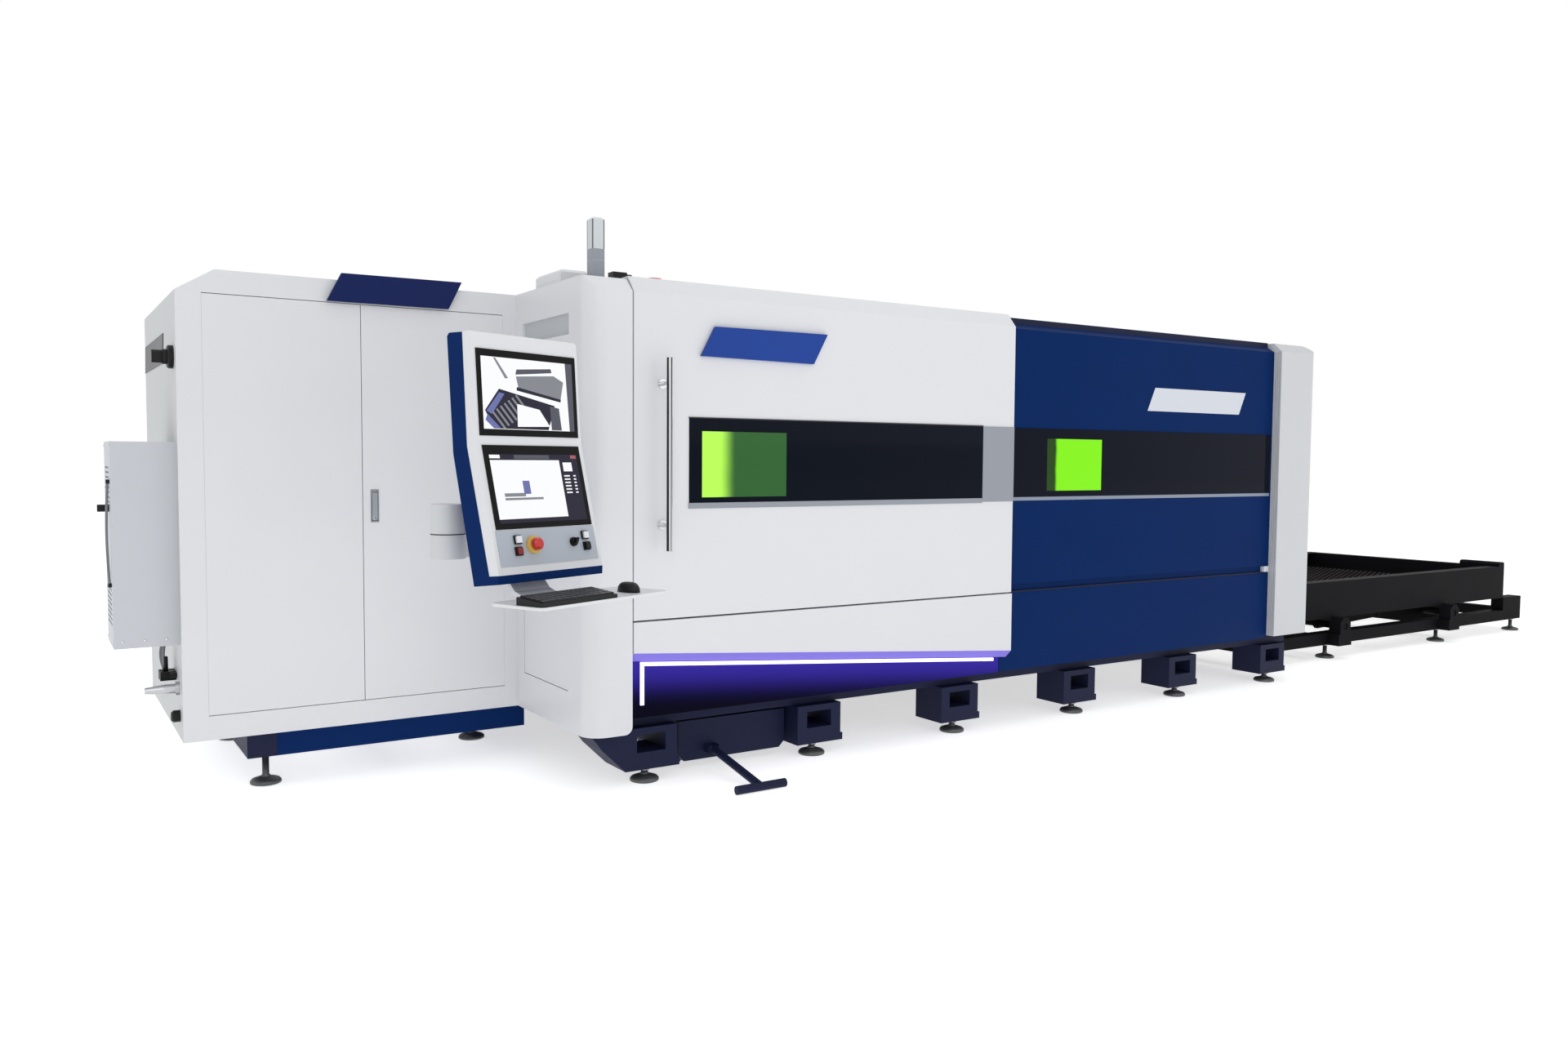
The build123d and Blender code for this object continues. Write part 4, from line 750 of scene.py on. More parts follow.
@dataclass
class NodeDresser:
    """Gives the carried-over solids their finishes.

    Attributes:
        shop: Source of the finishes.
        nodes: The solids by name.
        plain: The solids of each finish.
    """

    shop: Paintshop
    nodes: dict
    plain: dict[Look, tuple[str, ...]] = field(default_factory=lambda: {
        Look.NAVY: ("bed_frame", "slag_cart", "tow_bar"),
        Look.BLUE_PAINTED_GLOW: ("base_panel",),
        Look.LED: ("led_strip",),
        Look.WHITE: ("skirt_panel", "left_end_shell", "end_access_panel", "rear_wall",
                     "roof_panel", "cabinet_shell", "door_shell", "cabinet_door_left",
                     "cabinet_door_right", "console_front", "keyboard_tray", "lift_gate",
                     "roof_fittings"),
        Look.BLUE: ("fixed_front_panel", "cabinet_plinth", "console_back"),
        Look.DARK_GLASS: ("fixed_window", "door_window"),
        Look.FIXED_GREEN: ("fixed_green_pane",),
        Look.DOOR_GREEN: ("door_green_pane",),
        Look.SHADED_END_WHITE: ("right_end_shell",),
        Look.RAIL: ("door_rails", "x_rails"),
        Look.COOLER: ("cooler",),
        Look.BLACK: ("side_fittings", "isolator_handle", "push_button_black",
                     "selector_switch", "keyboard", "mouse"),
        Look.DRIVE: ("electrics_plate", "laser_source", "carriage", "cutting_head"),
        Look.TABLE: ("table_base", "pallet_upper", "pallet_lower", "lift_frame",
                     "rocker_near", "rocker_far"),
        Look.ARM: ("arm_bracket", "arm_lower", "arm_upper"),
        Look.CHROME: ("door_handle",),
        Look.LEVER: ("lock_lever",),
        Look.BEZEL: ("screens",),
        Look.PANEL: ("button_panel",),
        Look.RED: ("emergency_stop",),
        Look.BUTTON: ("push_button_white_left", "push_button_white_right"),
        Look.DARK_RED: ("push_button_red",),
        Look.TRIM: ("gantry_beam",),
        Look.FOOT: ("levelling_feet",),
        Look.LENS: ("signal_tower",),
        Look.SHEATH: ("cabinet_cables",),
    })

    def dress(self) -> None:
        """Coat every solid, and part the solids that have several finishes."""
        finish_of = {name: finish for finish, names in self.plain.items() for name in names}
        for name, piece in self.nodes.items():
            self.shop.coat(piece, finish_of[name])
            LOG.info("solid %s: %s", name, finish_of[name].value.name)
        for name, finishes, chooser in (
                ("roof_fittings", (Look.WHITE, Look.BLACK, Look.RED), self._roof_slot),
                ("signal_tower", (Look.LENS, Look.TOWER), self._tower_slot),
                ("side_fittings", (Look.BLACK, Look.RAIL), self._side_slot),
                # door rails painted dark navy: painted shade of the groove they run in
                ("door_rails", (Look.NAVY, Look.LABEL), self._rail_slot),
                ("skirt_panel", (Look.WHITE, Look.SEAM_AND_SHADE, Look.LIP_PAINTED_GLOW), self._skirt_slot),
                ("cabinet_plinth", (Look.BLUE, Look.NAVY), self._plinth_slot),
                ("cabinet_shell", (Look.WHITE, Look.SHADE_WHITE), self._cabinet_slot),
                ("door_handle", (Look.CHROME, Look.HANDLE_PAINTED_REFLECTION), self._handle_slot),
                ("button_panel", (Look.PANEL, Look.YELLOW, Look.BLACK), self._panel_slot)):
            self._part(name, finishes, chooser)

    def _part(self, name: str, finishes: Sequence[Look],
              chooser: Callable[[Point], int]) -> None:
        """Choose each face's finish from where its middle is.

        Args:
            name: The node.
            finishes: Its finishes.
            chooser: Function from a place in mm to a slot number.
        """
        piece = self.nodes[name]
        self.shop.coat(piece, *finishes)
        for face in piece.data.polygons:
            centre = face.center
            place = (centre.x * 1000 + FIRST_FOOT[0], centre.y * 1000 + FIRST_FOOT[1],
                     centre.z * 1000)
            face.material_index = chooser(place)

    @staticmethod
    def _roof_slot(place: Point) -> int:
        """White box, black connector, red beacon."""
        box_right, connector_right = 160, 320
        if place[0] < box_right:
            return 0
        return 1 if place[0] < connector_right else 2

    @staticmethod
    def _tower_slot(place: Point) -> int:
        """Clear lens over a grey foot."""
        lens_foot = 2280
        return 0 if place[2] > lens_foot else 1

    @staticmethod
    def _rail_slot(place: Point) -> int:
        """Pale end stop on the rails, which are painted dark navy as the shaded groove they run
        in.
        """
        stop_low, stop_high = 741, 1000
        return 1 if stop_low < place[2] < stop_high else 0

    @staticmethod
    def _skirt_slot(place: Point) -> int:
        """Shadow on the ledge behind the seam, strip light on the lower lip."""
        ledge_front, ledge_low = 43.5, 700
        lip_left, lip_right, lip_height = 300, 2400, 41
        if place[1] > ledge_front and place[2] > ledge_low:
            return 1
        low = place[2] < skirt_edge(place[0]) + lip_height
        return 2 if low and lip_left < place[0] < lip_right else 0

    @staticmethod
    def _plinth_slot(place: Point) -> int:
        """Dark foot boxes at the plinth's left end."""
        boxes_right = -1000
        return 1 if place[0] < boxes_right else 0

    @staticmethod
    def _cabinet_slot(place: Point) -> int:
        """Shaded left side of the cabinet."""
        side_right = -1425
        return 1 if place[0] < side_right else 0

    @staticmethod
    def _handle_slot(place: Point) -> int:
        """Two dark reflections painted along the bar's front."""
        first_right, second_left, second_right, bar_back = 336, 344, 349, -50
        dark = place[0] < first_right or second_left < place[0] < second_right
        return 1 if dark and place[1] < bar_back else 0

    @staticmethod
    def _side_slot(place: Point) -> int:
        """Steel gas inlet among black fittings."""
        inlet_low, inlet_high, inlet_back = 430, 500, 975
        return 1 if inlet_low < place[2] < inlet_high and place[1] < inlet_back else 0

    @staticmethod
    def _panel_slot(place: Point) -> int:
        """Yellow collar and black bezels on the grey plate."""
        across, out = ConsoleDress.across_and_out(place)
        plate_face, stop_across, collar_reach = 0.8, -78, 35
        if out < plate_face:
            return 0
        return 1 if abs(across - stop_across) < collar_reach else 2


@dataclass
class WindowTrim:
    """Strips and blocks round the windows.

    Attributes:
        shop: Source of the finishes.
        strip_low: Lower edge of the strip under the door's window.
        strip_high: Upper edge of that strip.
        door_left: Left edge of the door's window.
        door_right: Right edge of the door's window.
        top: Upper edge of both windows.
    """

    shop: Paintshop
    strip_low: float = 1220.0
    strip_high: float = 1245.0
    door_left: float = 474.0
    door_right: float = 2204.0
    top: float = 1616.0

    def build(self) -> None:
        """Build the trims."""
        left, right = self.door_left, self.door_right
        door = PieceMaker("door_window_trim", self.shop)
        door.block(left, right, -5, 0, self.strip_low, self.strip_high, Look.TRIM)
        door.block(right, right + 220, -5, 0, self.strip_low + 6, self.top, Look.TRIM)
        door.block(left, right, -4.6, 0, self.top, self.top + 5, Look.SEAM_AND_SHADE, 0.5)
        door.finish("front_door", "grey_paint")
        fixed = PieceMaker("fixed_window_trim", self.shop)
        fixed.block(2470, 4732, 50, 54, self.strip_low + 6, self.strip_high, Look.PALE_LINE)
        fixed.finish("machine", "grey_paint")


@dataclass
class BareSigns:
    """Raised plates with nothing on them.

    Attributes:
        shop: Source of the finishes.
    """

    shop: Paintshop

    def build(self) -> None:
        """Build the door's, the cabinet's and the fixed front's plates."""
        self._plate("door_sign", [(530, 1887), (1125, 1881), (1202, 2022), (600, 2019)],
                    -20, 20, Look.SIGN, 1.5).finish("front_door", "blue_paint")
        cabinet = self._plate("cabinet_sign",
                              [(-854, 2104), (-328, 2107), (-267, 2232), (-792, 2227)],
                              790, 18, Look.DEEP_SIGN, 1.5)
        for x in (-700, -430):
            cabinet.block(x, x + 40, 808, 822, 2120, 2180, Look.TRIM)
        cabinet.finish("machine", "blue_paint")
        self._plate("front_plate", [(3545, 1737), (4400, 1737), (4464, 1873), (3610, 1873)],
                    52, 2, Look.LABEL, 0.5).finish("machine", "blue_paint")

    def _plate(self, name: str, outline: Sequence[tuple[float, float]], front: float,
               thickness: float, finish: Look, bevel: float) -> PieceMaker:
        """Start a piece with one upright plate.

        Args:
            name: The piece's name.
            outline: x and height of its corners.
            front: y of its front.
            thickness: Its thickness.
            finish: Its finish.
            bevel: Edge rounding.

        Returns:
            The piece's maker.
        """
        return PieceMaker(name, self.shop).prism(
            [at(x, front, z) for x, z in outline], Vector((0, thickness / 1000, 0)),
            finish, bevel)


@dataclass
class CabinetDress:
    """Small parts of the cabinet and the cooler.

    Attributes:
        shop: Source of the finishes.
        wall: x of the cabinet's left side.
        cooler_face: x of the cooler's outer face.
        cooler_foot: Height of the cooler's underside.
        pipe_top: Height of the cooler pipe's upper end.
        pipe_length: Straight distance between the pipe's ends.
        lead_in: Straight length of the cables under the cooler.
        lead_in_rows: y of the cables.
        lever_x: x of the lever pocket's middle.
        screw: Profile of a screw's head.
    """

    shop: Paintshop
    wall: float = -1433.0
    cooler_face: float = -1670.0
    cooler_foot: float = 652.0
    pipe_top: float = 1330.0
    pipe_length: float = 420.0
    lead_in: float = 132.0
    lead_in_rows: tuple[float, float] = (1055.0, 1105.0)
    lever_x: float = -656.0
    screw: tuple = ((0, 5.5), (1.6, 5.0), (2.6, 3.0))

    def build(self) -> None:
        """Build the screws, the plates, the pipe, the lever's rim and the cables."""
        self._screws()
        plate = PieceMaker("side_plate", self.shop)
        outline = [(1284, 1839), (2092, 1840), (2066, 1966), (1258, 1968)]
        plate.prism([at(self.wall - 3, y, z) for y, z in outline], Vector((0.003, 0, 0)),
                    Look.DULL_SIGN, 0.8)
        plate.finish("machine", "black_plastic")
        box = PieceMaker("plinth_foot_box", self.shop)
        box.block(-1182, -1062, 896, 899.9, 137, 252, Look.NAVY)
        box.finish("machine", "blue_paint")
        self._pipe()
        self._rim()
        self._cables()

    def _screws(self) -> None:
        """Screws on two sides of the cooler's cover."""
        screws = PieceMaker("cooler_screws", self.shop)
        for y in (905, 1205):
            for z in (670, 880, 1090, 1300, 1475):
                screws.turned(at(self.cooler_face, y, z), Vector((-1, 0, 0)), self.screw,
                              Look.CHROME, 14)
        for x in (-1640, -1560, -1480):
            screws.turned(at(x, 890, 680), Vector((0, -1, 0)), self.screw, Look.CHROME, 14)
        screws.finish("machine", "bright_steel")

    def _pipe(self) -> None:
        """Thin pipe on the cooler's face, with a black end at each end."""
        pipe = PieceMaker("cooler_pipe", self.shop)
        steps = 24
        way = [at(self.cooler_face - 7 - 7 * math.sin(math.pi * k / steps), 925,
                  self.pipe_top - self.pipe_length * k / steps) for k in range(steps + 1)]
        pipe.hose(way, 5.0, Look.SHEATH)
        for end in (way[0], way[-1]):
            pipe.hose([end + Vector((0.012, 0, 0)), end + Vector((-0.006, 0, 0))], 9.0,
                      Look.BLACK)
        pipe.finish("machine", "cable_grey")

    def _rim(self) -> None:
        """Rim and lock of the door lever's pocket."""
        rim = PieceMaker("lever_rim", self.shop)
        left, right, bar = self.lever_x - 18, self.lever_x + 18, 4
        for x0, x1, z0, z1 in ((left, left + bar, 1150, 1290), (right - bar, right, 1150, 1290),
                               (left, right, 1288, 1293), (left, right, 1147, 1152)):
            rim.block(x0, x1, 819.5, 822, z0, z1, Look.TRIM, 0.8)
        front = Vector((0, -1, 0))
        rim.turned(at(self.lever_x, 819.4, 1168), front, [(0, 7), (1.2, 7), (1.6, 5.5)],
                   Look.CHROME, 24)
        rim.turned(at(self.lever_x, 817.9, 1168), front, [(0, 2.6), (0.3, 2.6)], Look.SEAM_AND_SHADE, 12)
        rim.finish("right_door", "grey_paint")

    def _cables(self) -> None:
        """Bowed cables in place of the plain ones, one with a sleeve."""
        cables = PieceMaker("cooler_cables", self.shop)
        x = self.wall - 38
        steps = 16
        for number, y in enumerate(self.lead_in_rows):
            lean = 8.0 + 5.0 * number
            way = [at(x - lean * math.sin(math.pi * k / steps), y,
                      self.cooler_foot - self.lead_in * k / steps) for k in range(steps + 1)]
            cables.hose(way, 6.5, Look.SHEATH)
        cables.turned(at(x, self.lead_in_rows[0], self.cooler_foot - self.lead_in),
                      Vector((0, 0, 1)), [(0, 10), (58, 9.5), (64, 7.5)], Look.BLACK, 20)
        piece = cables.finish("machine", "cable_grey")
        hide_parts("cabinet_cables")


@dataclass
class ConsoleDress:
    """Screens' pictures, keys and mouse of the console.

    Attributes:
        shop: Source of the finishes.
        turn: Turn of the console about the vertical.
        origin: Middle of the upper screen, mm.
        bend: Forward and up of the line where the two faces meet.
        foot: Forward and up of the lower face's lower edge.
        top: Forward and up of the upper face's upper edge.
        lower_middle: Height of the lower screen's middle.
        plate_middle: Height of the button plate's middle.
        plate_front: Distance of the screens' and plate's fronts from the faces.
        tray_top: Height of the keyboard shelf above the floor.
    """

    shop: Paintshop
    turn = math.radians(23.4)
    origin = (-496.6, -621.0, 1655.0)
    bend = (14.0, -165.0)
    foot = (117.0, -603.0)
    top = (-9.0, 200.0)
    lower_middle = -315.5
    plate_middle = -518.0
    plate_front = 3.0
    tray_top = 968.3

    @classmethod
    def place(cls, across: float, forward: float, up: float) -> Vector:
        """Turn the console's own axes into the row's metres.

        Args:
            across: To the right, mm.
            forward: Towards the operator, mm.
            up: Above the upper screen's middle, mm.

        Returns:
            The point in the row frame.
        """
        c, s = math.cos(cls.turn), math.sin(cls.turn)
        x = cls.origin[0] + across * c + forward * s
        y = cls.origin[1] + across * s - forward * c
        return at(x, y, cls.origin[2] + up)

    @classmethod
    def lower_tilt(cls) -> float:
        """Return the lean of the lower face, in radians."""
        return math.atan2(cls.foot[0] - cls.bend[0], cls.bend[1] - cls.foot[1])

    @classmethod
    def upper_tilt(cls) -> float:
        """Return the lean of the upper face, in radians."""
        return math.atan2(cls.bend[0] - cls.top[0], cls.top[1] - cls.bend[1])

    @classmethod
    def on_face(cls, across: float, along: float, out: float, middle: float,
                lower: bool) -> Vector:
        """Return a place on one of the two faces.

        Args:
            across: To the right, mm.
            along: Up the face from its middle, mm.
            out: In front of the face, mm.
            middle: Height of the face's middle, mm.
            lower: Whether it is the lower face.

        Returns:
            The point in the row frame.
        """
        start, end = (cls.bend, cls.foot) if lower else (cls.top, cls.bend)
        share = (middle - start[1]) / (end[1] - start[1])
        forward = start[0] + share * (end[0] - start[0])
        lean = cls.lower_tilt() if lower else cls.upper_tilt()
        return cls.place(across, forward - math.sin(lean) * along + math.cos(lean) * out,
                         middle + math.cos(lean) * along + math.sin(lean) * out)

    @classmethod
    def across_and_out(cls, place: Point) -> tuple[float, float]:
        """Return how far a place in mm is across, and in front of, the button plate."""
        dx, dy = place[0] - cls.origin[0], place[1] - cls.origin[1]
        c, s = math.cos(cls.turn), math.sin(cls.turn)
        across = dx * c + dy * s
        forward = dx * s - dy * c
        up = place[2] - cls.origin[2]
        lean = cls.lower_tilt()
        share = (cls.plate_middle - cls.bend[1]) / (cls.foot[1] - cls.bend[1])
        front = cls.bend[0] + share * (cls.foot[0] - cls.bend[0])
        out = ((forward - front) * math.cos(lean)
               + (up - cls.plate_middle) * math.sin(lean))
        return across, out - cls.plate_front

    def _shape(self, maker: PieceMaker, corners: Sequence[tuple[float, float]],
               finish: Look, out: float, lower: bool = False) -> None:
        """Add one flat field of colour to a screen's picture.

        Args:
            maker: The piece.
            corners: Its corners on the face, mm.
            finish: Its finish.
            out: Distance in front of the screen's front, mm.
            lower: Whether it is the lower screen.
        """
        middle = self.lower_middle if lower else 0
        gap = self.plate_front
        low = [self.on_face(a, b, gap, middle, lower) for a, b in corners]
        push = (self.on_face(0, 0, gap + out, middle, lower)
                - self.on_face(0, 0, gap, middle, lower))
        maker.prism(low, push, finish)

    def _field(self, maker: PieceMaker, box: tuple[float, float, float, float],
               finish: Look, out: float, lower: bool) -> None:
        """Add an upright oblong field.

        Args:
            maker: The piece.
            box: Left, right, bottom and top on the face, mm.
            finish: Its finish.
            out: Distance in front of the screen's front, mm.
            lower: Whether it is the lower screen.
        """
        left, right, bottom, top = box
        corners = [(left, bottom), (right, bottom), (right, top), (left, top)]
        self._shape(maker, corners, finish, out, lower)

    def build(self) -> None:
        """Build the pictures, the key caps and the mouse."""
        self._upper_picture()
        self._lower_picture()
        self._keys()
        self._mouse()

    def _upper_picture(self) -> None:
        """Picture of a plain slatted table, in fields of grey."""
        maker = PieceMaker("upper_picture", self.shop)
        self._field(maker, (-214, 214, -122, 120), Look.VIEW_WHITE, 0.3, False)
        for corners, finish, out in (
                ([(-50, 18), (150, -14), (168, 52), (120, 72), (-60, 60)], Look.VIEW_GREY, 0.4),
                ([(-62, 66), (112, 82), (108, 96), (-56, 84)], Look.VIEW_MID, 0.5),
                ([(-58, 24), (152, -10), (150, -20), (-60, 12)], Look.VIEW_DARK, 0.5),
                ([(-206, -60), (-140, 14), (120, -34), (84, -120), (-170, -120)],
                 Look.VIEW_DARK, 0.5),
                ([(-200, -62), (-140, 2), (-116, -2), (-176, -72)], Look.VIEW_BLUE, 0.6),
                ([(-206, -92), (-196, -72), (-140, -118), (-170, -120)], Look.VIEW_BLUE, 0.6),
                ([(-60, -34), (44, -50), (92, -108), (-62, -112)], Look.VIEW_WHITE, 0.7),
                ([(96, -36), (140, -42), (150, -120), (100, -120)], Look.VIEW_MID, 0.6),
                ([(180, 120), (214, 120), (214, -122), (190, -122)], Look.VIEW_MID, 0.5),
                ([(-160, 118), (-150, 118), (-96, 52), (-110, 50)], Look.VIEW_GREY, 0.5)):
            self._shape(maker, corners, finish, out)
        for i in range(7):
            across, up = -176 + i * 18, -66 + i * 10
            self._shape(maker, [(across, up), (across + 7, up + 4), (across + 60, up - 51),
                                (across + 52, up - 55)], Look.VIEW_GREY, 0.65)
        maker.finish("console", "screen")

    def _lower_picture(self) -> None:
        """Plain work area with a side bar, in flat fields."""
        maker = PieceMaker("lower_picture", self.shop)
        fields = [((-206, 208, -124, 112), Look.VIEW_DARK, 0.3),
                  ((-206, 116, -110, 92), Look.VIEW_WHITE, 0.5),
                  ((-206, -160, 98, 110), Look.VIEW_WHITE, 0.5),
                  ((-96, 70, 96, 110), Look.VIEW_MID, 0.5),
                  ((176, 204, 98, 110), Look.VIEW_RED, 0.5),
                  ((132, 176, 52, 84), Look.VIEW_WHITE, 0.5)]
        for i in range(6):
            top = 38 - i * 12
            for left, right in ((130, 158), (176, 188)):
                fields.append(((left, right, top - 5, top), Look.VIEW_WHITE, 0.5))
        fields += [((-166, -70, -34, -22), Look.VIEW_GREY, 0.7),
                   ((-76, -44, -26, 20), Look.VIEW_BLUE, 0.8),
                   ((-166, 10, -46, -38), Look.VIEW_GREY, 0.7)]
        for box, finish, out in fields:
            self._field(maker, box, finish, out, True)
        maker.finish("console", "screen")

    def _keys(self) -> None:
        """Separate caps on the keyboard's rows."""
        maker = PieceMaker("key_caps", self.shop)
        left, front = -278.0, 345.0
        slope = 14.0 / 118.0
        front_height, cap_lift = 12, 3.6
        margin, row_pitch, row_length = 9, 21, 334.0
        cap_depth, cap_gap = 16.5, 2.4
        base = self.tray_top - self.origin[2]
        for row in range(5):
            start = front - 10 - row * row_pitch
            end = start - cap_depth
            count = 15 if row else 10
            pitch = row_length / count
            z0 = base + front_height + slope * (front - start) + cap_lift
            z1 = base + front_height + slope * (front - end) + cap_lift
            for column in range(count):
                a0 = left + margin + column * pitch
                a1 = a0 + pitch - cap_gap
                outline = [self.place(a0, start, z0), self.place(a1, start, z0),
                           self.place(a1, end, z1), self.place(a0, end, z1)]
                maker.prism(outline, Vector((0, 0, 0.0022)), Look.KEYS, 0.6)
        maker.finish("console", "black_plastic")

    def _mouse(self) -> None:
        """Rounded mouse with its wheel, in place of the plain one."""
        maker = PieceMaker("round_mouse", self.shop)
        base = self.tray_top - self.origin[2]
        half_width, half_length, height = 30.5, 53.0, 35
        middle_across, middle_forward, blunt = 225, 262, 0.55
        before = set(maker.mesh.faces)
        rings, sides = 9, 28
        turn = math.radians(-12)
        rows = []
        for i in range(rings):
            climb = (math.pi / 2) * i / (rings - 1)
            shrink = math.cos(climb) ** blunt if i < rings - 1 else 0.02
            row = []
            for k in range(sides):
                angle = 2 * math.pi * k / sides
                a = half_width * math.cos(angle) * shrink
                b = half_length * math.sin(angle) * shrink
                across = middle_across + a * math.cos(turn) - b * math.sin(turn)
                forward = middle_forward - (a * math.sin(turn) + b * math.cos(turn))
                row.append(maker.mesh.verts.new(
                    self.place(across, forward, base + height * math.sin(climb))))
            rows.append(row)
        maker.skin(rows)
        maker.paint_since(before, Look.BLACK)
        wheel = self.place(214, 292, base + 24)
        maker.turned(wheel, self.place(1, 0, 0) - self.place(0, 0, 0),
                     [(-4, 7), (-3, 9), (3, 9), (4, 7)], Look.KEYS, 20)
        piece = maker.finish("console", "black_plastic")
        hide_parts("mouse")


@dataclass
class FootDress:
    """Turned levelling mounts in place of the plain ones.

    Attributes:
        shop: Source of the finishes.
        cabin: x, y and height under the load of the cabin's mounts.
        table: The same of the exchange table's mounts.
        cabinet: The same of the cabinet's mounts.
    """

    shop: Paintshop
    cabin: tuple = tuple((336.0 + 909.0 * i, y, 62.0) for i in range(6) for y in (150.0, 2510.0))
    table: tuple = tuple((x, y, 105.0) for x in (5465.0, 6101.0, 7653.0, 8880.0)
                         for y in (480.0, 2180.0))
    cabinet: tuple = ((-1095.0, 990.0, 136.0), (-1095.0, 1960.0, 136.0), (-60.0, 1330.0, 136.0))

    def build(self) -> None:
        """Build all the mounts as one piece."""
        maker = PieceMaker("turned_feet", self.shop)
        pad = [(0, 60), (3, 65), (12, 65), (20, 58), (26, 40), (30, 26), (30.5, 0.5)]
        for x, y, under in self.cabin + self.table + self.cabinet:
            base = at(x, y, 0)
            up = Vector((0, 0, 1))
            stud = [(26, 20), (36, 19), (40, 14.5), (under, 14.5)]
            nut = [(under - 15, 22), (under - 13, 25), (under - 2, 25), (under - 0.2, 23)]
            maker.turned(base, up, pad, Look.FOOT, 32)
            maker.turned(base, up, stud, Look.FOOT, 24)
            maker.turned(base, up, nut, Look.RAIL, 6)
        piece = maker.finish("machine", "steel_raw")
        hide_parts("levelling_feet")


@dataclass
class PalletDress:
    """Toothed edges on the pallets' slats.

    Attributes:
        shop: Source of the finishes.
        count: Slats on a pallet.
        teeth: Teeth on a slat.
        length: Length of a pallet.
        frame: Width of a pallet's end bar.
        front: y of a slat's front end.
        back: y of a slat's back end.
        thickness: Thickness of a slat's plate with teeth.
        depth: Height of that plate.
        tooth: Height of a tooth.
    """

    shop: Paintshop
    count: int = 32
    teeth: int = 34
    length: float = 3240.0
    frame: float = 60.0
    front: float = 602.0
    back: float = 2058.0
    thickness: float = 6.4
    depth: float = 60.0
    tooth: float = 12.0

    def build(self) -> None:
        """Build the teeth of both pallets."""
        pitch = (self.length - 2 * self.frame) / (self.count + 1)
        for name, body, left, top in (("upper_teeth", "sheet_pallet", 1500.0, 712.3),
                                      ("lower_teeth", "spare_pallet", 5250.0, 454.3)):
            maker = PieceMaker(name, self.shop)
            for i in range(self.count):
                self._slat(maker, left + self.frame + (i + 1) * pitch, top)
            maker.finish(body, "table_paint")

    def _slat(self, maker: PieceMaker, x: float, top: float) -> None:
        """Add one slat's plate with teeth.

        Args:
            maker: The piece.
            x: Middle of the slat.
            top: Height of its tips.
        """
        side = x - self.thickness / 2
        step = (self.back - self.front) / self.teeth
        root = top - self.tooth
        outline = [at(side, self.back, top - self.depth), at(side, self.front, top - self.depth)]
        for k in range(self.teeth):
            outline.append(at(side, self.front + k * step, root))
            outline.append(at(side, self.front + (k + 0.5) * step, top - 0.2))
        outline.append(at(side, self.back, root))
        maker.prism(outline, Vector((self.thickness / 1000, 0, 0)), Look.SLAT)


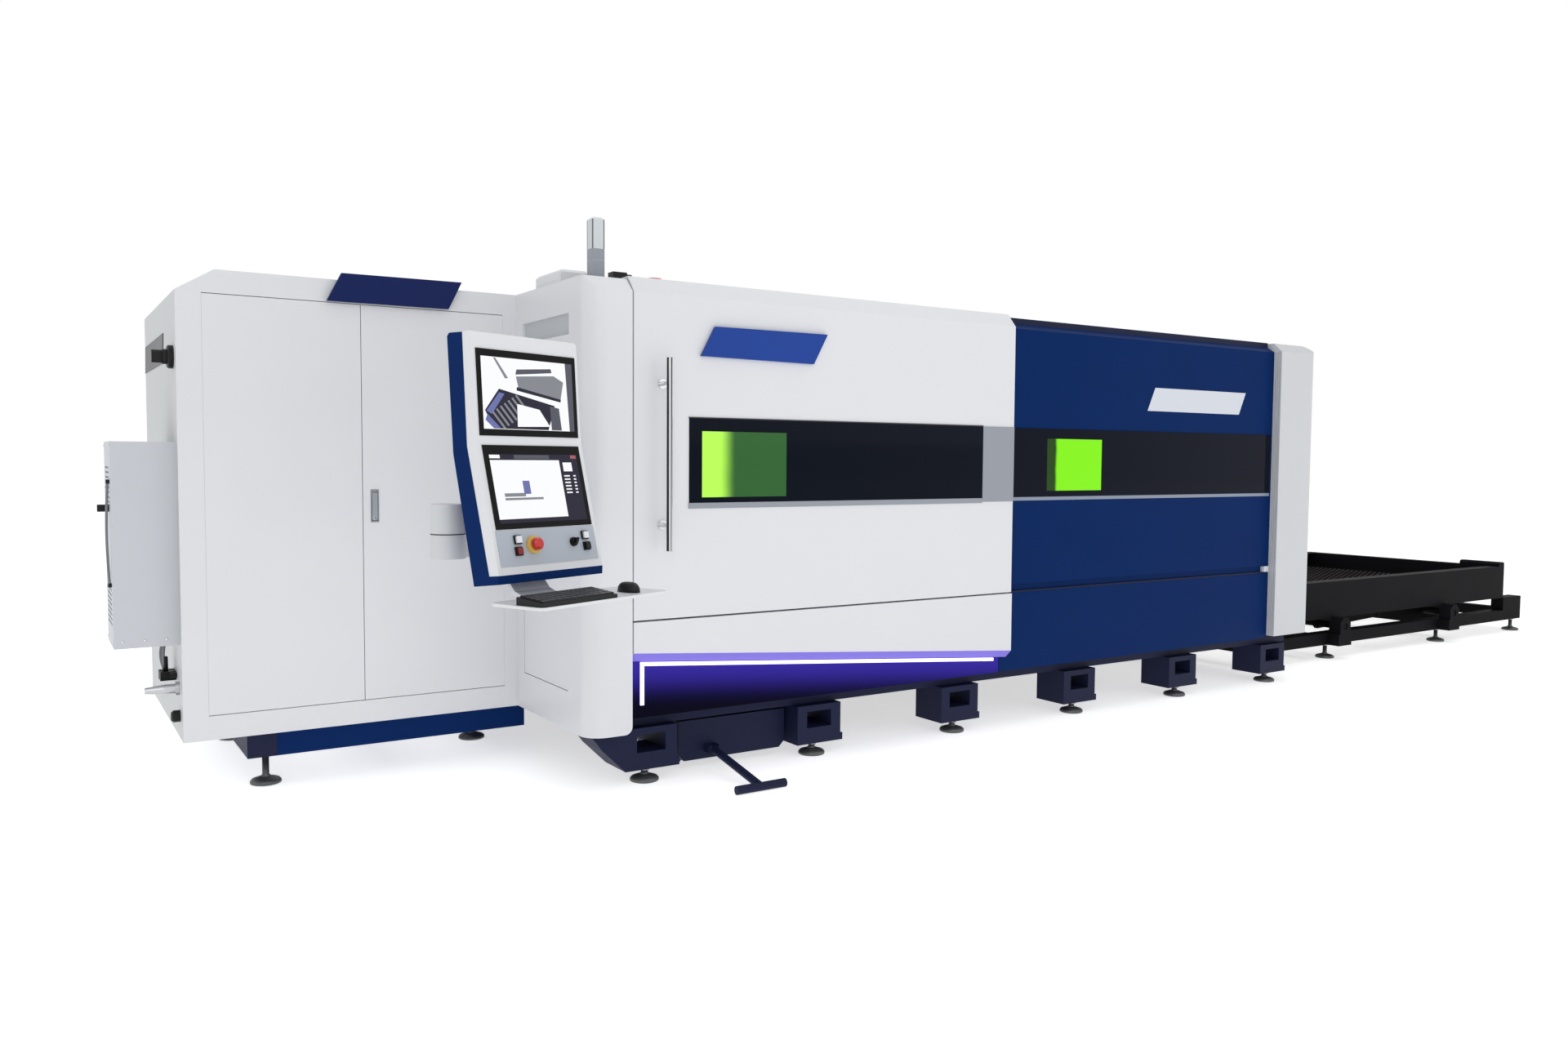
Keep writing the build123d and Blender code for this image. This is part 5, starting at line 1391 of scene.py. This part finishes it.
@dataclass
class CabinDress:
    """Small parts on the cabin.

    Attributes:
        shop: Source of the finishes.
        panel_low: Lower edge of the access panel.
        panel_high: Upper edge of the access panel.
        tower: Middle of the signal tower's body.
        roof: Height of the roof.
        led_front: y of the light line's front.
        led_left: x of the light line's left end.
        led_right: x of the light line's right end.
    """

    shop: Paintshop
    panel_low: float = 425.5
    panel_high: float = 1878.5
    tower: tuple[float, float] = (126.0, 198.0)
    roof: float = 2200.0
    led_front: float = 35.2
    led_left: float = 264.0
    led_right: float = 2338.0

    def build(self) -> None:
        """Build the recess, seals, the painted shadow in the door's gap, joint lines, the
        painted shade at the arm's joint, tower sleeve, roof cable and light line.
        """
        recess = PieceMaker("recess_plate", self.shop)
        recess.block(13, 15, 197, 733, 1968, 2055, Look.RECESS, 0.6)
        recess.finish("machine", "grey_paint")
        seal = PieceMaker("access_seal", self.shop)
        for y in (217.5, 735.5):
            seal.block(14, 20, y - 1.2, y + 1.2, self.panel_low + 0.5, self.panel_high - 0.5,
                       Look.SEAM_AND_SHADE, 0.2)
        for z in (self.panel_low, self.panel_high):
            seal.block(14, 20, 219, 734, z - 1.2, z + 1.2, Look.SEAM_AND_SHADE, 0.2)
        seal.finish("machine", "black_plastic")
        # painted shadow: a grey strip in the gap between the door and the left end stands in for
        # the shade there
        strip = PieceMaker("door_gap_painted_shadow", self.shop)
        strip.block(205.4, 210.6, 24, 40, 745, 2130, Look.SHADE_WHITE, 0.2)
        strip.finish("machine", "grey_paint")
        joints = PieceMaker("roof_joints", self.shop)
        for x in (1370.0, 2540.0, 3710.0):
            joints.block(x, x + 4, 150, 2650, self.roof, self.roof + 0.8, Look.TRIM, 0.2)
        joints.finish("machine", "grey_paint")
        # painted shade: a dark band at the joint between the arm's parts stands in for the shade
        # in the gap
        knuckle = PieceMaker("knuckle_gap_painted_shade", self.shop)
        knuckle.turned(at(-726, -448, 1168), Vector((0, 0, 1)),
                       [(0, 59.3), (0.5, 59.8), (3.4, 59.8), (3.9, 59.3)], Look.SEAM_AND_SHADE, 48)
        knuckle.finish("lower_arm", "grey_paint")
        self._tower_sleeve()
        cable = PieceMaker("roof_cable", self.shop)
        steps = 20
        way = [at(292 + 60 * math.sin(math.pi * k / steps), 199 + 90 * k / steps,
                  2226 - 20 * k / steps) for k in range(steps + 1)]
        cable.hose(way, 6.0, Look.BUTTON)
        cable.finish("machine", "white_plastic")
        self._light_line()

    def _tower_sleeve(self) -> None:
        """Two grey sleeves round the tower's foot and a post at each corner of its lens."""
        bands = PieceMaker("tower_bands", self.shop)
        (x, y), half = self.tower, 28.5
        for low, high in ((2287, 2336), (2211, 2286)):
            bands.block(x - half, x + half, y - half, y + half, low, high, Look.TRIM, 0.5)
        for left in (x - half, x + half - 5):
            for front in (y - half, y + half - 5):
                bands.block(left, left + 5, front, front + 5, 2336, 2460, Look.TOWER, 0.5)
        bands.finish("machine", "grey_plastic")

    def _light_line(self) -> None:
        """Bright core of the light strip, along the skirt's edge and down its left end."""
        core = PieceMaker("led_core", self.shop)
        y, left, right = self.led_front, self.led_left, self.led_right
        high, low = skirt_edge(left) - 6, skirt_edge(right) - 6
        push = Vector((0, 0.0009, 0))
        core.prism([at(left, y, high - 12), at(right, y, low - 12), at(right, y, low),
                    at(left, y, high)], push, Look.LED_CORE)
        core.prism([at(left, y, 368), at(left + 12, y, 368), at(left + 12, y, high - 12),
                    at(left, y, high - 12)], push, Look.LED_CORE)
        core.finish("machine", "led")


@dataclass
class Studio:
    """Floor, lights, world and camera.

    Attributes:
        camera_place: The camera's place, mm.
        focal_pixels: Focal length in pixels of the photograph.
        photo_width: Width of the photograph in pixels.
        sensor_width: Width of the sensor, mm.
        yaw: Turn of the view to the right, degrees.
        pitch: Tilt of the view upwards, degrees.
        roll: Lean of the view, degrees.
        lit_middle: Point that the lamps face, m.
    """

    camera_place: Point = (-1988.9, -4505.2, 1439.2)
    focal_pixels: float = 1431.9
    photo_width: float = 1920.0
    sensor_width: float = 36.0
    yaw: float = 33.351
    pitch: float = -3.096
    roll: float = 0.411
    lit_middle: Point = (3.6, 1.0, 1.1)

    def build(self) -> None:
        """Build the studio."""
        self._floor()
        self._world()
        self._lamps()
        self._camera()

    @staticmethod
    def _floor() -> None:
        """Pale floor that keeps the machine's shadow."""
        bpy.ops.mesh.primitive_plane_add(size=120, location=(4, 0, -0.0005))
        floor = bpy.context.object
        floor.name = "floor"
        wires, shader, material = Wires.of_material("studio_floor")
        wires.join(shader, {"Base Color": (0.93, 0.93, 0.94, 1), "Roughness": 0.85,
                            "Emission Color": (1, 1, 1, 1), "Emission Strength": 0.6})
        floor.data.materials.append(material)

    @staticmethod
    def _world() -> None:
        """Soft light all round, which the camera, gloss and glass see as white."""
        world = bpy.data.worlds.new("studio")
        bpy.context.scene.world = world
        world.use_nodes = True
        wires = Wires(world.node_tree)
        plain = wires.tree.nodes["Background"]
        wires.join(plain, {"Color": (0.98, 0.99, 1.0, 1), "Strength": 0.5})
        ray = wires.add("LightPath").outputs
        either = wires.math("MAXIMUM", ray["Is Glossy Ray"], ray["Is Transmission Ray"])
        seen = wires.math("MAXIMUM", ray["Is Camera Ray"], either)
        white = wires.add("Background", {"Color": (1, 1, 1, 1), "Strength": 1.0})
        mix = wires.add("MixShader", {"Fac": seen, 1: plain.outputs[0], 2: white.outputs[0]})
        wires.join(wires.tree.nodes["World Output"], {"Surface": mix.outputs[0]})

    def _lamps(self) -> None:
        """Soft lamps from the front, the side and above."""
        for name, place, size, power in (
                ("key", (-4.0, -9.0, 6.5), 6.0, 150.0),
                ("front", (7.5, -10.0, 5.0), 7.0, 70.0),
                ("end", (-10.0, 3.0, 4.5), 5.0, 30.0),
                ("top", (4.0, 0.5, 9.5), 9.0, 240.0)):
            data = bpy.data.lights.new(name, "AREA")
            data.energy = power
            data.size = size
            lamp = bpy.data.objects.new(name, data)
            lamp.location = place
            lamp.rotation_mode = "QUATERNION"
            aim = Vector(self.lit_middle) - Vector(place)
            lamp.rotation_quaternion = aim.to_track_quat("-Z", "Y")
            bpy.context.scene.collection.objects.link(lamp)

    def _camera(self) -> None:
        """Camera at the photograph's place."""
        data = bpy.data.cameras.new("camera")
        data.sensor_width = self.sensor_width
        data.lens = self.focal_pixels / self.photo_width * self.sensor_width
        data.clip_end = 200
        camera = bpy.data.objects.new("camera", data)
        yaw, pitch, roll = (math.radians(angle) for angle in (self.yaw, self.pitch, self.roll))
        forward = Vector((math.sin(yaw) * math.cos(pitch), math.cos(yaw) * math.cos(pitch),
                          math.sin(pitch)))
        right = Vector((math.cos(yaw), -math.sin(yaw), 0))
        up = right.cross(forward)
        right, up = (right * math.cos(roll) + up * math.sin(roll),
                     up * math.cos(roll) - right * math.sin(roll))
        turn = Matrix((right, up, -forward)).transposed()
        camera.matrix_world = Matrix.Translation(at(*self.camera_place)) @ turn.to_4x4()
        bpy.context.scene.collection.objects.link(camera)
        bpy.context.scene.camera = camera


def smooth_curved_solids(nodes: Iterable[bpy.types.Object]) -> None:
    """Shade the carried-over solids smooth up to 30 degrees.

    Args:
        nodes: The solids.
    """
    for piece in nodes:
        piece.data.shade_smooth()
        piece.data.set_sharp_from_angle(angle=math.radians(30))


def main() -> None:
    """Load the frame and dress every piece."""
    logging.basicConfig(level=logging.INFO, format="%(message)s")
    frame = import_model()
    bpy.context.scene.view_settings.view_transform = "Standard"
    shop = Paintshop()
    smooth_curved_solids(frame["nodes"].values())
    NodeDresser(shop, frame["nodes"]).dress()
    for dresser in (WindowTrim(shop), BareSigns(shop), CabinetDress(shop), ConsoleDress(shop),
                    FootDress(shop), PalletDress(shop), CabinDress(shop)):
        dresser.build()
    Studio().build()


if __name__ == "__main__":
    main()
